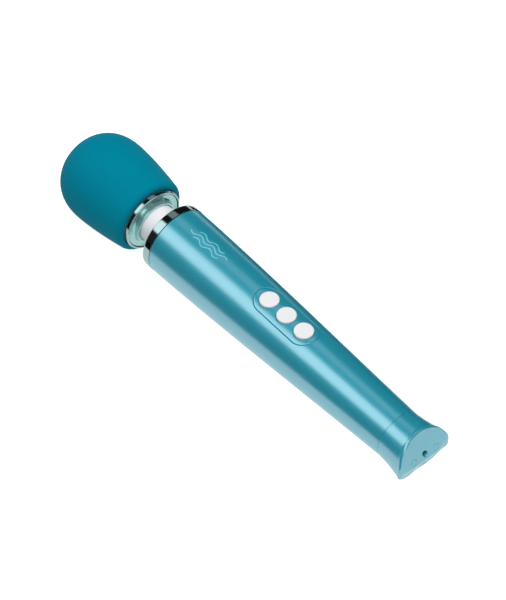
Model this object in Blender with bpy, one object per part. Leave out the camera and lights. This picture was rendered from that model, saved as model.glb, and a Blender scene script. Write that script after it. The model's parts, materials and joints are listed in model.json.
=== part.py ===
"""Handheld wand massager, lying on its back with the buttons up.

The pieces are drawn in the wand's own frame, in millimetres: +Z runs along the axis from
the ridge of the tail to the top of the head, +X points out through the buttons, and +Y is
the wand's side. One empty then lays the whole wand down, head towards -X.
"""

import math

import bmesh
import bpy
from mathutils import Vector

MM = 0.001
FAR = 40.0  # safely outside the wand, for the pieces that cut
GAP = 0.3  # between pieces that fit together
SMALL_GAP = 0.15  # between small pieces that rest on each other
SKIN_STEPS = 36  # sides of the outer turned pieces
CORE_STEPS = 20  # sides of the inner turned pieces
SMALL_STEPS = 12  # sides of screws, pins and leads

# Driving dimensions along the axis
TOTAL_LENGTH = 250.0
SEAM_Z = 19.5  # joint between the tail cap and the handle's sleeve
SLEEVE_TOP_Z = 175.5
COLLAR_TOP_Z = 180.3
HEAD_BOTTOM_Z = 193.2  # underside of the chrome ring
HEAD_WIDE_Z = 227.0  # where the head is widest

# Driving radii
WAIST_R = 12.9
SLEEVE_TOP_R = 18.3
WAIST_SLOPE = 0.035
TOP_SLOPE = 0.012
FLARE = 3.3  # how much the tail widens from the waist
FLARE_POWER = 1.6
HEAD_R = 23.4
HEAD_LOW_R = 20.35  # where the head's side meets its rounded lower corner
HEAD_CORNER = 3.2
DOME_POWER = 2.35
NECK_R = 10.35
WALL = 1.7

# Tail
FACET_ANGLE = math.radians(24.5)
RIDGE_R = 80.0  # the ridge bows out a little between its corners
RIDGE_BOW = math.radians(8.6)  # half of the bow's angle
RIDGE_CORNER = 3.8
HEEL_X = 13.8  # from the axis to the flat that the tail rests on
HEEL_Z = 7.5
PORT_X = 3.0
PORT_R = 1.5
TAIL_SCREW = (2.4, 7.0)
CAP_FLOOR_Z = 10.5
SPIGOT_TOP_Z = 27.5
SPIGOT_R = 10.9
SPIGOT_WALL = 1.2
SEAL_Z = 24.0  # middle of the rubber ring's groove
SEAL_DEPTH = 0.7

# Buttons
BUTTON_MID_Z = 96.5
BUTTON_PITCH = 12.1
BUTTON_R = 5.1
BUTTON_STEM_R = 2.2
BUTTON_FLANGE_R = 5.7
PANEL_HALF_WIDTH = 7.5
PANEL_WALL = 1.8
STEM_FOOT_X = 9.6
SHEET_THICK = 0.7  # rubber sheet under the buttons
SWITCH_SIDE = 4.6
BUTTONS = (("button_lower", -1), ("button_middle", 0), ("button_upper", 1))

# Inner carrier, battery and board
CARRIER_LOW_Z = 30.0
END_PLATE = 2.5
CARRIER_TOP_Z = 163.0
CARRIER_WALL = 1.4
CARRIER_SPLIT_X = 2.0
BATTERY_R = 7.1
BATTERY_X = -3.0
BATTERY_LOW_Z = 42.7
BATTERY_LENGTH = 50.0
BOARD_X = 5.4
BOARD_THICK = 1.4
BOARD_LOW_Z = 66.0
BOARD_TOP_Z = 150.0
BOARD_HALF_WIDTH = 8.5
CARRIER_SCREWS = (("carrier_screw_low", 36.5), ("carrier_screw_high", 156.0))
BOARD_SCREWS = (("board_screw_low", 115.5), ("board_screw_high", 146.0))
POST_R = 2.3  # posts and bosses that take the small screws
CHIPS = (
    # name, half width, lowest and highest z, height, material
    ("control_chip", 3.0, 124.0, 130.0, 1.2, "black_plastic"),
    ("charge_chip", 2.0, 72.0, 76.0, 1.0, "black_plastic"),
    ("motor_connector", 4.0, 134.0, 140.0, 3.4, "white_plastic"),
)
LEAD_R = 0.55

# Neck
SOCKET_LOW_Z = 166.0
SPRING_R = 7.6
SPRING_WIRE_R = 0.7
SPRING_TURNS = 6
PITCH_Z = 183.0  # the neck bends forwards and back about this height
SWAY_Z = 189.0  # and sideways about this one
BOOT_WALL = 1.5

# Head
COVER_WALL = 2.2
COVER_LOW = 2.3  # from the ring's underside to the cover's lowest edge
CUP_R = 14.6  # outside of the metal cup that holds the motor
CUP_TOP_Z = 212.0

# Motor in the head
MOTOR_R = 11.7
MOTOR_LOW_Z = 202.3
MOTOR_TOP_Z = 228.0
SHAFT_R = 1.25
SHAFT_HOLE_R = 1.4
CAN_WALL = 0.9
ROTOR_R = 7.9
WEIGHT_R = 9.5
WEIGHT_LOW_Z = 230.5
WEIGHT_TOP_Z = 240.5
HEAD_SCREW_Z = 204.0

COLOURS = {
    # name: (red, green, blue), roughness, metallic
    "pearl_paint": ((0.05, 0.36, 0.42), 0.3, 0.6),
    "chrome": ((0.85, 0.88, 0.88), 0.06, 1.0),
    "tinted_chrome": ((0.5, 0.78, 0.76), 0.12, 1.0),
    "teal_silicone": ((0.0, 0.2, 0.28), 0.65, 0.0),
    "white_silicone": ((0.85, 0.84, 0.86), 0.5, 0.0),
    "white_plastic": ((0.86, 0.88, 0.88), 0.35, 0.0),
    "black_plastic": ((0.03, 0.03, 0.03), 0.45, 0.0),
    "grey_plastic": ((0.35, 0.36, 0.38), 0.5, 0.0),
    "black_rubber": ((0.02, 0.02, 0.02), 0.8, 0.0),
    "steel": ((0.6, 0.6, 0.6), 0.3, 1.0),
    "zinc_steel": ((0.7, 0.7, 0.68), 0.35, 1.0),
    "brass": ((0.75, 0.55, 0.25), 0.3, 1.0),
    "ferrite": ((0.08, 0.08, 0.09), 0.7, 0.0),
    "copper": ((0.75, 0.35, 0.2), 0.35, 1.0),
    "cell_sleeve": ((0.1, 0.3, 0.6), 0.4, 0.0),
    "board_green": ((0.02, 0.2, 0.08), 0.5, 0.0),
    "lead_red": ((0.6, 0.02, 0.02), 0.5, 0.0),
    "lead_black": ((0.02, 0.02, 0.02), 0.5, 0.0),
}


# Outlines

def sleeve_radius(z):
    """Outer radius of the handle's sleeve: one cubic from the waist to the collar."""
    length = SLEEVE_TOP_Z - SEAM_Z
    t = min(max((z - SEAM_Z) / length, 0.0), 1.0)
    rise = (3 - 2 * t) * t * t
    start = t * (1 - t) ** 2 * length * WAIST_SLOPE
    end = t * t * (t - 1) * length * TOP_SLOPE
    return WAIST_R + (SLEEVE_TOP_R - WAIST_R) * rise + start + end


def flare_radius(z):
    """Outer radius of the tail cap, a trumpet that opens downwards from the seam."""
    return WAIST_R + FLARE * ((SEAM_Z - z) / SEAM_Z) ** FLARE_POWER


def head_radius(z):
    """Outer radius of the silicone cover above its rounded lower corner."""
    if z >= HEAD_WIDE_Z:
        u = (z - HEAD_WIDE_Z) / (TOTAL_LENGTH - HEAD_WIDE_Z)
        return HEAD_R * max(1 - u ** DOME_POWER, 0.0) ** (1 / DOME_POWER)
    corner_z = HEAD_BOTTOM_Z + COVER_LOW + HEAD_CORNER
    u = (HEAD_WIDE_Z - z) / (HEAD_WIDE_Z - corner_z)
    return HEAD_R - (HEAD_R - HEAD_LOW_R) * u ** 1.6


def spaced(low, high, steps):
    """steps + 1 values from low to high, both ends included."""
    return [low + (high - low) * i / steps for i in range(steps + 1)]


def arc(centre, radius, start, end, steps):
    """Points along a round stretch, angles in degrees."""
    points = []
    for angle in spaced(math.radians(start), math.radians(end), steps):
        points.append((centre[0] + radius * math.cos(angle), centre[1] + radius * math.sin(angle)))
    return points


def side(radius, low, high, steps, inset=0.0):
    """Points (r, z) up a turned side, the radius function's value less the inset."""
    return [(radius(z) - inset, z) for z in spaced(low, high, steps)]


def stadium(half_width, inset=0.0):
    """Outline (y, z) of the button panel, round at both ends."""
    reach = BUTTON_PITCH
    radius = half_width - inset
    top = arc((0, BUTTON_MID_Z + reach), radius, 0, 180, 10)
    bottom = arc((0, BUTTON_MID_Z - reach), radius, 180, 360, 10)
    return top + bottom


def dome(low_z, inset, steps):
    """Points (r, z) over the head from low_z to the top, an inset under its surface."""
    points = []
    top = TOTAL_LENGTH - inset
    for i in range(steps + 1):
        swing = math.radians(90) * i / steps
        z = HEAD_WIDE_Z + (top - HEAD_WIDE_Z) * math.sin(swing)
        u = (z - HEAD_WIDE_Z) / (top - HEAD_WIDE_Z)
        r = (HEAD_R - inset) * max(1 - u ** DOME_POWER, 0.0) ** (1 / DOME_POWER)
        points.append((r, z))
    points[-1] = (0.0, top)
    return side(head_radius, low_z, HEAD_WIDE_Z, max(2, steps // 2), inset)[:-1] + points


# Makers

def material(name):
    found = bpy.data.materials.get(name)
    if found:
        return found
    colour, roughness, metallic = COLOURS[name]
    made = bpy.data.materials.new(name)
    made.use_nodes = True
    shader = made.node_tree.nodes["Principled BSDF"]
    shader.inputs["Base Color"].default_value = (*colour, 1.0)
    shader.inputs["Roughness"].default_value = roughness
    shader.inputs["Metallic"].default_value = metallic
    return made


def holder(name, at, parent=None):
    """An empty at a point of the wand's frame, on a joint's axis where pieces move."""
    empty = bpy.data.objects.new(name, None)
    bpy.context.scene.collection.objects.link(empty)
    empty.empty_display_size = 5 * MM
    empty["wand_at"] = list(at)
    if parent:
        empty.parent = parent
        empty.location = (Vector(at) - Vector(parent["wand_at"])) * MM
    return empty


def piece(name, mesh, slot, parent, at=(0, 0, 0), turn=(0, 0, 0)):
    """Links a mesh, places it at a point of the wand's frame and turns it, angles in degrees."""
    made = bpy.data.objects.new(name, mesh)
    bpy.context.scene.collection.objects.link(made)
    if slot:
        mesh.materials.append(material(slot))
    made.parent = parent
    made.location = (Vector(at) - Vector(parent["wand_at"])) * MM
    made.rotation_euler = [math.radians(angle) for angle in turn]
    return made


def finished(name, bm, smooth_deg=35):
    bmesh.ops.recalc_face_normals(bm, faces=bm.faces)
    bmesh.ops.scale(bm, vec=(MM, MM, MM), verts=bm.verts)
    mesh = bpy.data.meshes.new(name)
    bm.to_mesh(mesh)
    bm.free()
    mesh.shade_smooth()
    mesh.set_sharp_from_angle(angle=math.radians(smooth_deg))
    return mesh


def turned(name, outline, steps=CORE_STEPS):
    """Turns a closed outline of (r, z) points about Z. Points at r = 0 become poles."""
    # Inner pieces start half a step round, so their corners never lie on the wand's mid plane
    phase = 0.0 if steps == SKIN_STEPS else 0.5
    bm = bmesh.new()
    rings = []
    for r, z in outline:
        if r < 1e-6:
            rings.append([bm.verts.new((0, 0, z))] * steps)
            continue
        ring = []
        for i in range(steps):
            angle = 2 * math.pi * (i + phase) / steps
            ring.append(bm.verts.new((r * math.cos(angle), r * math.sin(angle), z)))
        rings.append(ring)
    for low, high in zip(rings, rings[1:] + rings[:1]):
        for i in range(steps):
            j = (i + 1) % steps
            corners = [low[i], low[j], high[j], high[i]]
            unique = list(dict.fromkeys(corners))
            if len(unique) > 2:
                bm.faces.new(unique)
    return finished(name, bm)


def extruded(name, outline, low, high, along="x"):
    """Extrudes a closed outline along an axis. Its points are the other two axes, in order."""
    bm = bmesh.new()
    place = {
        "x": lambda p, depth: (depth, p[0], p[1]),
        "y": lambda p, depth: (p[0], depth, p[1]),
        "z": lambda p, depth: (p[0], p[1], depth),
    }[along]
    floor = [bm.verts.new(place(p, low)) for p in outline]
    roof = [bm.verts.new(place(p, high)) for p in outline]
    bm.faces.new(floor)
    bm.faces.new(list(reversed(roof)))
    for i in range(len(outline)):
        j = (i + 1) % len(outline)
        bm.faces.new((floor[i], roof[i], roof[j], floor[j]))
    return finished(name, bm)


def block(name, low, high):
    outline = [(low[0], low[1]), (high[0], low[1]), (high[0], high[1]), (low[0], high[1])]
    return extruded(name, outline, low[2], high[2], along="z")


def rod(name, radius, low, high, steps=SMALL_STEPS):
    """A plain cylinder along Z."""
    return turned(name, [(0, low), (radius, low), (radius, high), (0, high)], steps)


def swept(name, points, radius, sides, slot, parent):
    """A round bar along a smooth curve through a few points."""
    curve = bpy.data.curves.new(name, "CURVE")
    curve.dimensions = "3D"
    curve.bevel_depth = radius * MM
    curve.bevel_resolution = sides // 4 - 1
    curve.use_fill_caps = True
    spline = curve.splines.new("POLY")
    spline.points.add(len(points) - 1)
    for target, point in zip(spline.points, points):
        target.co = (*(Vector(point) * MM), 1.0)
    return piece(name, curve, slot, parent)


def smooth_path(points, steps):
    """A Catmull-Rom curve through the points."""
    knots = [Vector(p) for p in points]
    knots = [2 * knots[0] - knots[1]] + knots + [2 * knots[-1] - knots[-2]]
    path = []
    for a, b, c, d in zip(knots, knots[1:], knots[2:], knots[3:]):
        for i in range(steps):
            t = i / steps
            path.append(0.5 * (2 * b + (c - a) * t + (2 * a - 5 * b + 4 * c - d) * t ** 2
                               + (3 * b - a - 3 * c + d) * t ** 3))
    path.append(knots[-2])
    return path


def shaped(target, operation, tool_mesh, at=(0, 0, 0), turn=(0, 0, 0)):
    """Cuts, joins or intersects the target with a hidden guide."""
    name = f"{target.name}_guide_{len(target.modifiers)}"
    tool = piece(name, tool_mesh, None, target.parent, at, turn)
    tool.hide_render = True
    tool.display_type = "WIRE"
    modifier = target.modifiers.new(name, "BOOLEAN")
    modifier.operation = operation
    modifier.solver = "EXACT"
    modifier.object = tool


# Tail

def facet_z(x):
    """Height of the tail's slanted faces at a distance from the ridge."""
    return abs(x) * math.tan(FACET_ANGLE)


def ridge_cutter():
    """Rounds the ridge and its two corners: outline (y, z) of what is cut away."""
    bow = math.degrees(RIDGE_BOW)
    reach = RIDGE_R * math.sin(RIDGE_BOW)
    rise = RIDGE_R * (1 - math.cos(RIDGE_BOW))
    centre_y = reach - RIDGE_CORNER * math.sin(RIDGE_BOW)
    centre_z = rise + RIDGE_CORNER * math.cos(RIDGE_BOW)
    line = arc((0, RIDGE_R), RIDGE_R, -90 - bow, -90 + bow, 6)
    right = arc((centre_y, centre_z), RIDGE_CORNER, -90 + bow, -10, 5)[1:]
    left = [(-y, z) for y, z in reversed(right)]
    frame = [(FAR, right[-1][1]), (FAR, -FAR), (-FAR, -FAR), (-FAR, left[0][1])]
    return extruded("ridge_edge", left + line + right + frame, -FAR, FAR)


def resting_distance(lie):
    """How far the floor is from the wand's origin, set by the head."""
    return max(r * math.cos(lie) - z * math.sin(lie) for r, z in dome(200.0, 0.0, 12))


def tail(root, lie):
    spigot_inner = SPIGOT_R - SPIGOT_WALL
    groove_r = SPIGOT_R - SEAL_DEPTH
    groove_low, groove_top = SEAL_Z - 0.8, SEAL_Z + 0.8
    outline = side(flare_radius, -2.0, SEAM_Z - GAP / 2, 7)
    outline += [(SPIGOT_R, SEAM_Z - GAP / 2), (SPIGOT_R, groove_low), (groove_r, groove_low)]
    outline += [(groove_r, groove_top), (SPIGOT_R, groove_top), (SPIGOT_R, SPIGOT_TOP_Z)]
    outline += [(spigot_inner, SPIGOT_TOP_Z), (spigot_inner, CAP_FLOOR_Z), (0, CAP_FLOOR_Z), (0, -2.0)]
    cap = piece("tail_cap", turned("tail_cap", outline, SKIN_STEPS), "pearl_paint", root)

    gable = [(-FAR, -FAR), (FAR, -FAR), (FAR, facet_z(FAR)), (0, 0), (-FAR, facet_z(FAR))]
    shaped(cap, "DIFFERENCE", extruded("gable", gable, -FAR, FAR, along="y"))

    shaped(cap, "DIFFERENCE", ridge_cutter())

    # The flat heel lies in the plane of the floor that the head sets
    reach = resting_distance(lie)
    heel = block("heel", (-FAR, -FAR, -FAR), (0, FAR, FAR))
    down = Vector((-math.cos(lie), 0, -math.sin(lie)))
    shaped(cap, "DIFFERENCE", heel, at=down * reach, turn=(0, -math.degrees(lie), 0))

    port = rod("port", PORT_R, -3.0, CAP_FLOOR_Z + 1, CORE_STEPS)
    shaped(cap, "DIFFERENCE", port, at=(PORT_X, 0, 0))
    screw_x, screw_y = TAIL_SCREW
    head_z = CAP_FLOOR_Z - 1.0
    for end, y in (("left", -screw_y), ("right", screw_y)):
        hole = [(0, -3), (1.75, -3), (1.75, head_z), (1.0, head_z), (1.0, CAP_FLOOR_Z + 1)]
        hole += [(0, CAP_FLOOR_Z + 1)]
        shaped(cap, "DIFFERENCE", turned("screw_hole", hole, 16), at=(screw_x, y, 0))

        screw = [(0, head_z - 1.6), (1.4, head_z - 1.6), (1.4, head_z - SMALL_GAP)]
        screw += [(0.7, head_z - SMALL_GAP), (0.7, 21.0), (0.3, 22.0), (0, 22.0)]
        mesh = turned("tail_screw", screw, SMALL_STEPS)
        piece(f"tail_screw_{end}", mesh, "zinc_steel", root, at=(screw_x, y, 0))

        cover = piece(f"screw_cover_{end}", rod("screw_cover", 1.45, 0.0, 4.6, 16), "pearl_paint",
                      root, at=(screw_x, y, 0))
        slanted = [(-5.0, -5.0), (5.0, -5.0), (5.0, facet_z(screw_x + 5.0) + SMALL_GAP)]
        slanted += [(-5.0, facet_z(screw_x) - 5.0 * math.tan(FACET_ANGLE) + SMALL_GAP)]
        shaped(cover, "DIFFERENCE", extruded("slant", slanted, -5, 5, along="y"), at=(screw_x, y, 0))

    ring = arc((SPIGOT_R - 0.15, SEAL_Z), 0.4, 0, 300, 5)
    piece("tail_seal", turned("tail_seal", ring, SKIN_STEPS), "black_rubber", root)

    sleeve = [(1.1, 2.3), (1.35, 2.3), (1.35, 10.2), (1.1, 10.2)]
    piece("jack_sleeve", turned("jack_sleeve", sleeve, 16), "steel", root, at=(PORT_X, 0, 0))
    piece("jack_pin", rod("jack_pin", 0.4, 4.5, 15.0), "brass", root, at=(PORT_X, 0, 0))
    housing = [(0.65, CAP_FLOOR_Z + GAP), (3.2, CAP_FLOOR_Z + GAP), (3.2, 19.0), (0, 19.0)]
    housing += [(0, 15.5), (0.65, 15.5)]
    piece("jack_housing", turned("jack_housing", housing, 16), "black_plastic", root, at=(PORT_X, 0, 0))


# Handle

def handle_sleeve(root):
    low = SEAM_Z + GAP / 2
    high = SLEEVE_TOP_Z - GAP / 2
    outline = side(sleeve_radius, low, high, 8)
    outline += list(reversed(side(sleeve_radius, low, high, 4, WALL)))
    tube = piece("handle_tube", turned("handle_tube", outline, SKIN_STEPS), "pearl_paint", root)
    window = extruded("window", stadium(PANEL_HALF_WIDTH, -GAP), 5.0, 30.0)
    shaped(tube, "DIFFERENCE", window)

    outline = [(14.6, SLEEVE_TOP_Z + GAP / 2), (SLEEVE_TOP_R + 0.1, SLEEVE_TOP_Z + GAP / 2)]
    outline += arc((SLEEVE_TOP_R - 0.7, COLLAR_TOP_Z - 0.8), 0.8, 0, 90, 3)
    outline += [(14.6, COLLAR_TOP_Z)]
    piece("collar_ring", turned("collar_ring", outline, SKIN_STEPS), "chrome", root)


def button_surface_x(step):
    """How far the panel's surface is from the axis at one button."""
    return sleeve_radius(BUTTON_MID_Z + step * BUTTON_PITCH)


def buttons(root):
    low = BUTTON_MID_Z - BUTTON_PITCH - PANEL_HALF_WIDTH - 2
    high = BUTTON_MID_Z + BUTTON_PITCH + PANEL_HALF_WIDTH + 2
    outline = side(sleeve_radius, low, high, 3)
    outline += list(reversed(side(sleeve_radius, low, high, 3, PANEL_WALL)))
    panel = piece("button_panel", turned("button_panel", outline, SKIN_STEPS), "pearl_paint", root)
    shaped(panel, "INTERSECT", extruded("panel_edge", stadium(PANEL_HALF_WIDTH), 5.0, 30.0))

    for name, step in BUTTONS:
        z = BUTTON_MID_Z + step * BUTTON_PITCH
        top = button_surface_x(step)
        hole = rod("button_hole", BUTTON_R + 0.35, 5.0, 30.0, CORE_STEPS)
        shaped(panel, "DIFFERENCE", hole, at=(0, 0, z), turn=(0, 90, 0))

        # The button is turned about its own travel, then laid to point out of the handle
        axis = holder(f"{name}_axis", (top, 0, z), root)
        foot = STEM_FOOT_X - top
        outline = [(0, foot), (BUTTON_STEM_R, foot), (BUTTON_STEM_R, -4.5), (BUTTON_FLANGE_R, -4.5)]
        outline += [(BUTTON_FLANGE_R, -3.5), (BUTTON_R, -3.5), (BUTTON_R, -0.1)]
        outline += arc((BUTTON_R - 0.6, -0.1), 0.6, 30, 80, 2)
        outline += [(BUTTON_R * 0.55, 0.72), (0, 0.85)]
        mesh = turned(name, outline, CORE_STEPS)
        piece(name, mesh, "white_plastic", axis, at=(top, 0, z), turn=(0, 90, 0))


# Carrier, battery and board inside the handle

def carrier_outline():
    low = CARRIER_LOW_Z + END_PLATE + GAP
    inner = WALL + GAP + CARRIER_WALL
    outline = side(sleeve_radius, low, CARRIER_TOP_Z, 6, WALL + GAP)
    outline += list(reversed(side(sleeve_radius, low, CARRIER_TOP_Z, 6, inner)))
    return outline


def rib(low, high):
    """A half ring that stops one end of the battery."""
    outer = sleeve_radius(low) - WALL - GAP - CARRIER_WALL / 2
    edge = 83  # degrees, so the ring's ends stay behind the split
    outline = arc((0, 0), outer, 180 - edge, 180 + edge, 12)
    outline += arc((0, 0), 5.0, 180 + edge, 180 - edge, 8)
    return extruded("rib", outline, low, high, along="z")


def end_frame(root):
    """The plate under the carrier, with two legs that take the tail screws."""
    plate_r = sleeve_radius(CARRIER_LOW_Z) - WALL - GAP
    plate = rod("end_frame", plate_r, CARRIER_LOW_Z, CARRIER_LOW_Z + END_PLATE, CORE_STEPS)
    frame = piece("end_frame", plate, "grey_plastic", root)
    lead_hole = rod("lead_hole", 1.6, 20.0, 40.0)
    shaped(frame, "DIFFERENCE", lead_hole, at=(3.4, 3.6, 0))
    screw_x, screw_y = TAIL_SCREW
    for y in (-screw_y, screw_y):
        leg = rod("leg", 2.0, CAP_FLOOR_Z + GAP, CARRIER_LOW_Z + 1.0, 16)
        shaped(frame, "UNION", leg, at=(screw_x, y, 0))
        shaped(frame, "DIFFERENCE", rod("leg_hole", 1.0, 5.0, 23.5), at=(screw_x, y, 0))


def carrier(root):
    split = CARRIER_SPLIT_X
    battery_top = BATTERY_LOW_Z + BATTERY_LENGTH

    shell = turned("carrier_back", carrier_outline(), CORE_STEPS)
    back = piece("carrier_back", shell, "grey_plastic", root)
    shaped(back, "DIFFERENCE", block("keep_back", (split, -FAR, 0), (FAR, FAR, 200.0)))
    for low in (BATTERY_LOW_Z - 2.7, battery_top + 1.3):
        shaped(back, "UNION", rib(low, low + 1.5))
    for name, z in CARRIER_SCREWS + BOARD_SCREWS:
        reach = sleeve_radius(z) - WALL - GAP - CARRIER_WALL / 2
        top = split if name.startswith("carrier") else BOARD_X - SMALL_GAP
        post = [(0, -reach), (POST_R, -reach), (POST_R, top), (1.1, top), (1.1, -4.0), (0, -4.0)]
        shaped(back, "UNION", turned("post", post, SMALL_STEPS), at=(0, 0, z), turn=(0, 90, 0))

    shell = turned("carrier_front", carrier_outline(), CORE_STEPS)
    front = piece("carrier_front", shell, "grey_plastic", root)
    for name, z in CARRIER_SCREWS:
        reach = sleeve_radius(z) - WALL - GAP - CARRIER_WALL / 2
        shaped(front, "UNION", rod("boss", POST_R, 0.0, reach), at=(0, 0, z), turn=(0, 90, 0))
    shaped(front, "DIFFERENCE", block("keep_front", (-FAR, -FAR, 0), (split + GAP, FAR, 200.0)))
    window = extruded("front_window", stadium(PANEL_HALF_WIDTH, -1.0), 6.0, 30.0)
    shaped(front, "DIFFERENCE", window)
    for name, z in CARRIER_SCREWS:
        seat = sleeve_radius(z) - WALL - GAP - CARRIER_WALL
        hole = [(0, -4.0), (1.1, -4.0), (1.1, seat), (2.0, seat), (2.0, seat + 6), (0, seat + 6)]
        shaped(front, "DIFFERENCE", turned("seat", hole, SMALL_STEPS), at=(0, 0, z), turn=(0, 90, 0))
        pan = [(0, -3.0), (0.8, -3.0), (0.8, seat + SMALL_GAP), (1.7, seat + SMALL_GAP)]
        pan += [(1.7, seat + 1.1), (0, seat + 1.1)]
        mesh = turned(name, pan, SMALL_STEPS)
        piece(name, mesh, "zinc_steel", root, at=(0, 0, z), turn=(0, 90, 0))


def battery(root):
    top = BATTERY_LOW_Z + BATTERY_LENGTH
    cell = [(0, BATTERY_LOW_Z), (BATTERY_R - 0.5, BATTERY_LOW_Z), (BATTERY_R, BATTERY_LOW_Z + 0.5)]
    cell += [(BATTERY_R, top - 1.3), (BATTERY_R - 0.8, top - 0.9)]
    cell += [(2.6, top - 0.9), (2.6, top), (0, top)]  # the raised end
    mesh = turned("battery_cell", cell, CORE_STEPS)
    piece("battery_cell", mesh, "cell_sleeve", root, at=(BATTERY_X, 0, 0))
    for name, z in (("battery_tab_minus", BATTERY_LOW_Z - 0.7), ("battery_tab_plus", top + 0.3)):
        tab = block(name, (BATTERY_X - 2.0, -2.5, z), (BATTERY_X + 4.0, 2.5, z + 0.4))
        piece(name, tab, "steel", root)


def board(root):
    top_x = BOARD_X + BOARD_THICK
    seat = top_x + SMALL_GAP
    outline = [(-BOARD_HALF_WIDTH, BOARD_LOW_Z), (BOARD_HALF_WIDTH, BOARD_LOW_Z)]
    outline += [(BOARD_HALF_WIDTH, BOARD_TOP_Z), (-BOARD_HALF_WIDTH, BOARD_TOP_Z)]
    mesh = extruded("circuit_board", outline, BOARD_X, top_x)
    made = piece("circuit_board", mesh, "board_green", root)
    for name, z in BOARD_SCREWS:
        shaped(made, "DIFFERENCE", rod("board_hole", 1.1, 0, 20), at=(0, 0, z), turn=(0, 90, 0))
        pan = [(0, 0.0), (0.8, 0.0), (0.8, seat), (1.7, seat), (1.7, seat + 1.1), (0, seat + 1.1)]
        screw = turned(name, pan, SMALL_STEPS)
        piece(name, screw, "zinc_steel", root, at=(0, 0, z), turn=(0, 90, 0))

    half = SWITCH_SIDE / 2
    for name, step in BUTTONS:
        z = BUTTON_MID_Z + step * BUTTON_PITCH
        switch = block("switch", (seat, -half, z - half), (seat + 1.4, half, z + half))
        made = piece(name.replace("button", "switch"), switch, "black_plastic", root)
        shaped(made, "UNION", rod("plunger", 1.2, seat + 1.0, STEM_FOOT_X - 0.9),
               at=(0, 0, z), turn=(0, 90, 0))
    for name, wide, low, high, height, slot in CHIPS:
        piece(name, block(name, (seat, -wide, low), (seat + height, wide, high)), slot, root)

    # The rubber sheet under the buttons has a hole for each stem
    under = STEM_FOOT_X - 0.2
    sheet = extruded("keypad_membrane", stadium(PANEL_HALF_WIDTH, 0.4), under, under + SHEET_THICK)
    made = piece("keypad_membrane", sheet, "white_silicone", root)
    for name, step in BUTTONS:
        z = BUTTON_MID_Z + step * BUTTON_PITCH
        shaped(made, "DIFFERENCE", rod("stem_hole", BUTTON_STEM_R + 0.4, 0, 20),
               at=(0, 0, z), turn=(0, 90, 0))


def leads(root):
    battery_top = BATTERY_LOW_Z + BATTERY_LENGTH
    routes = {
        "lead_charge": [(3.0, 2.0, 20.0), (3.0, 3.6, 30.0), (5.0, 5.6, 42.0), (6.2, 5.8, 55.0),
                        (6.1, 5.5, 65.0)],
        "lead_minus": [(0.5, -3.4, 41.9), (4.2, -4.4, 42.4), (5.2, -5.4, 50.0), (6.1, -5.5, 65.0)],
        "lead_plus": [(0.0, 0.0, battery_top + 1.6), (1.4, 1.5, battery_top + 5.0),
                      (3.6, 4.0, battery_top + 8.0), (4.7, 4.4, battery_top + 12.0)],
    }
    for name, points in routes.items():
        slot = "lead_red" if name == "lead_plus" else "lead_black"
        swept(name, smooth_path(points, 4), LEAD_R, 8, slot, root)


# Neck

def neck(root, link):
    low = SOCKET_LOW_Z
    well = NECK_R + GAP
    seat = SPRING_R + SPRING_WIRE_R + GAP
    socket = [(4.0, low), (15.9, low), (15.9, SLEEVE_TOP_Z - 0.2), (14.3, SLEEVE_TOP_Z - 0.2)]
    socket += [(14.3, COLLAR_TOP_Z - 0.4), (well, COLLAR_TOP_Z - 0.4), (well, low + 5.5)]
    socket += [(seat, low + 5.5), (seat, low + 3.0), (4.0, low + 3.0)]
    piece("neck_socket", turned("neck_socket", socket, SKIN_STEPS), "white_plastic", root)

    boot_low = low + 5.5 + GAP
    boot_top = HEAD_BOTTOM_Z + 1.1
    boot_inner = NECK_R - BOOT_WALL
    boot = [(boot_inner, boot_low), (NECK_R, boot_low), (NECK_R, boot_top), (boot_inner, boot_top)]
    piece("neck_boot", turned("neck_boot", boot, SKIN_STEPS), "white_silicone", link)

    spring_low = low + 3.0 + SPRING_WIRE_R + GAP
    spring_top = HEAD_BOTTOM_Z + 3.8 - SPRING_WIRE_R - GAP
    coil = []
    count = SPRING_TURNS * 12
    for i in range(count + 1):
        angle = 2 * math.pi * i / 12
        z = spring_low + (spring_top - spring_low) * i / count
        coil.append((SPRING_R * math.cos(angle), SPRING_R * math.sin(angle), z))
    swept("neck_spring", coil, SPRING_WIRE_R, 8, "steel", link)

    core = [(3.2, PITCH_Z - 2.0), (6.2, PITCH_Z - 2.0), (6.2, SWAY_Z + 2.0), (3.2, SWAY_Z + 2.0)]
    piece("neck_core", turned("neck_core", core, CORE_STEPS), "white_plastic", link)


# Head

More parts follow.
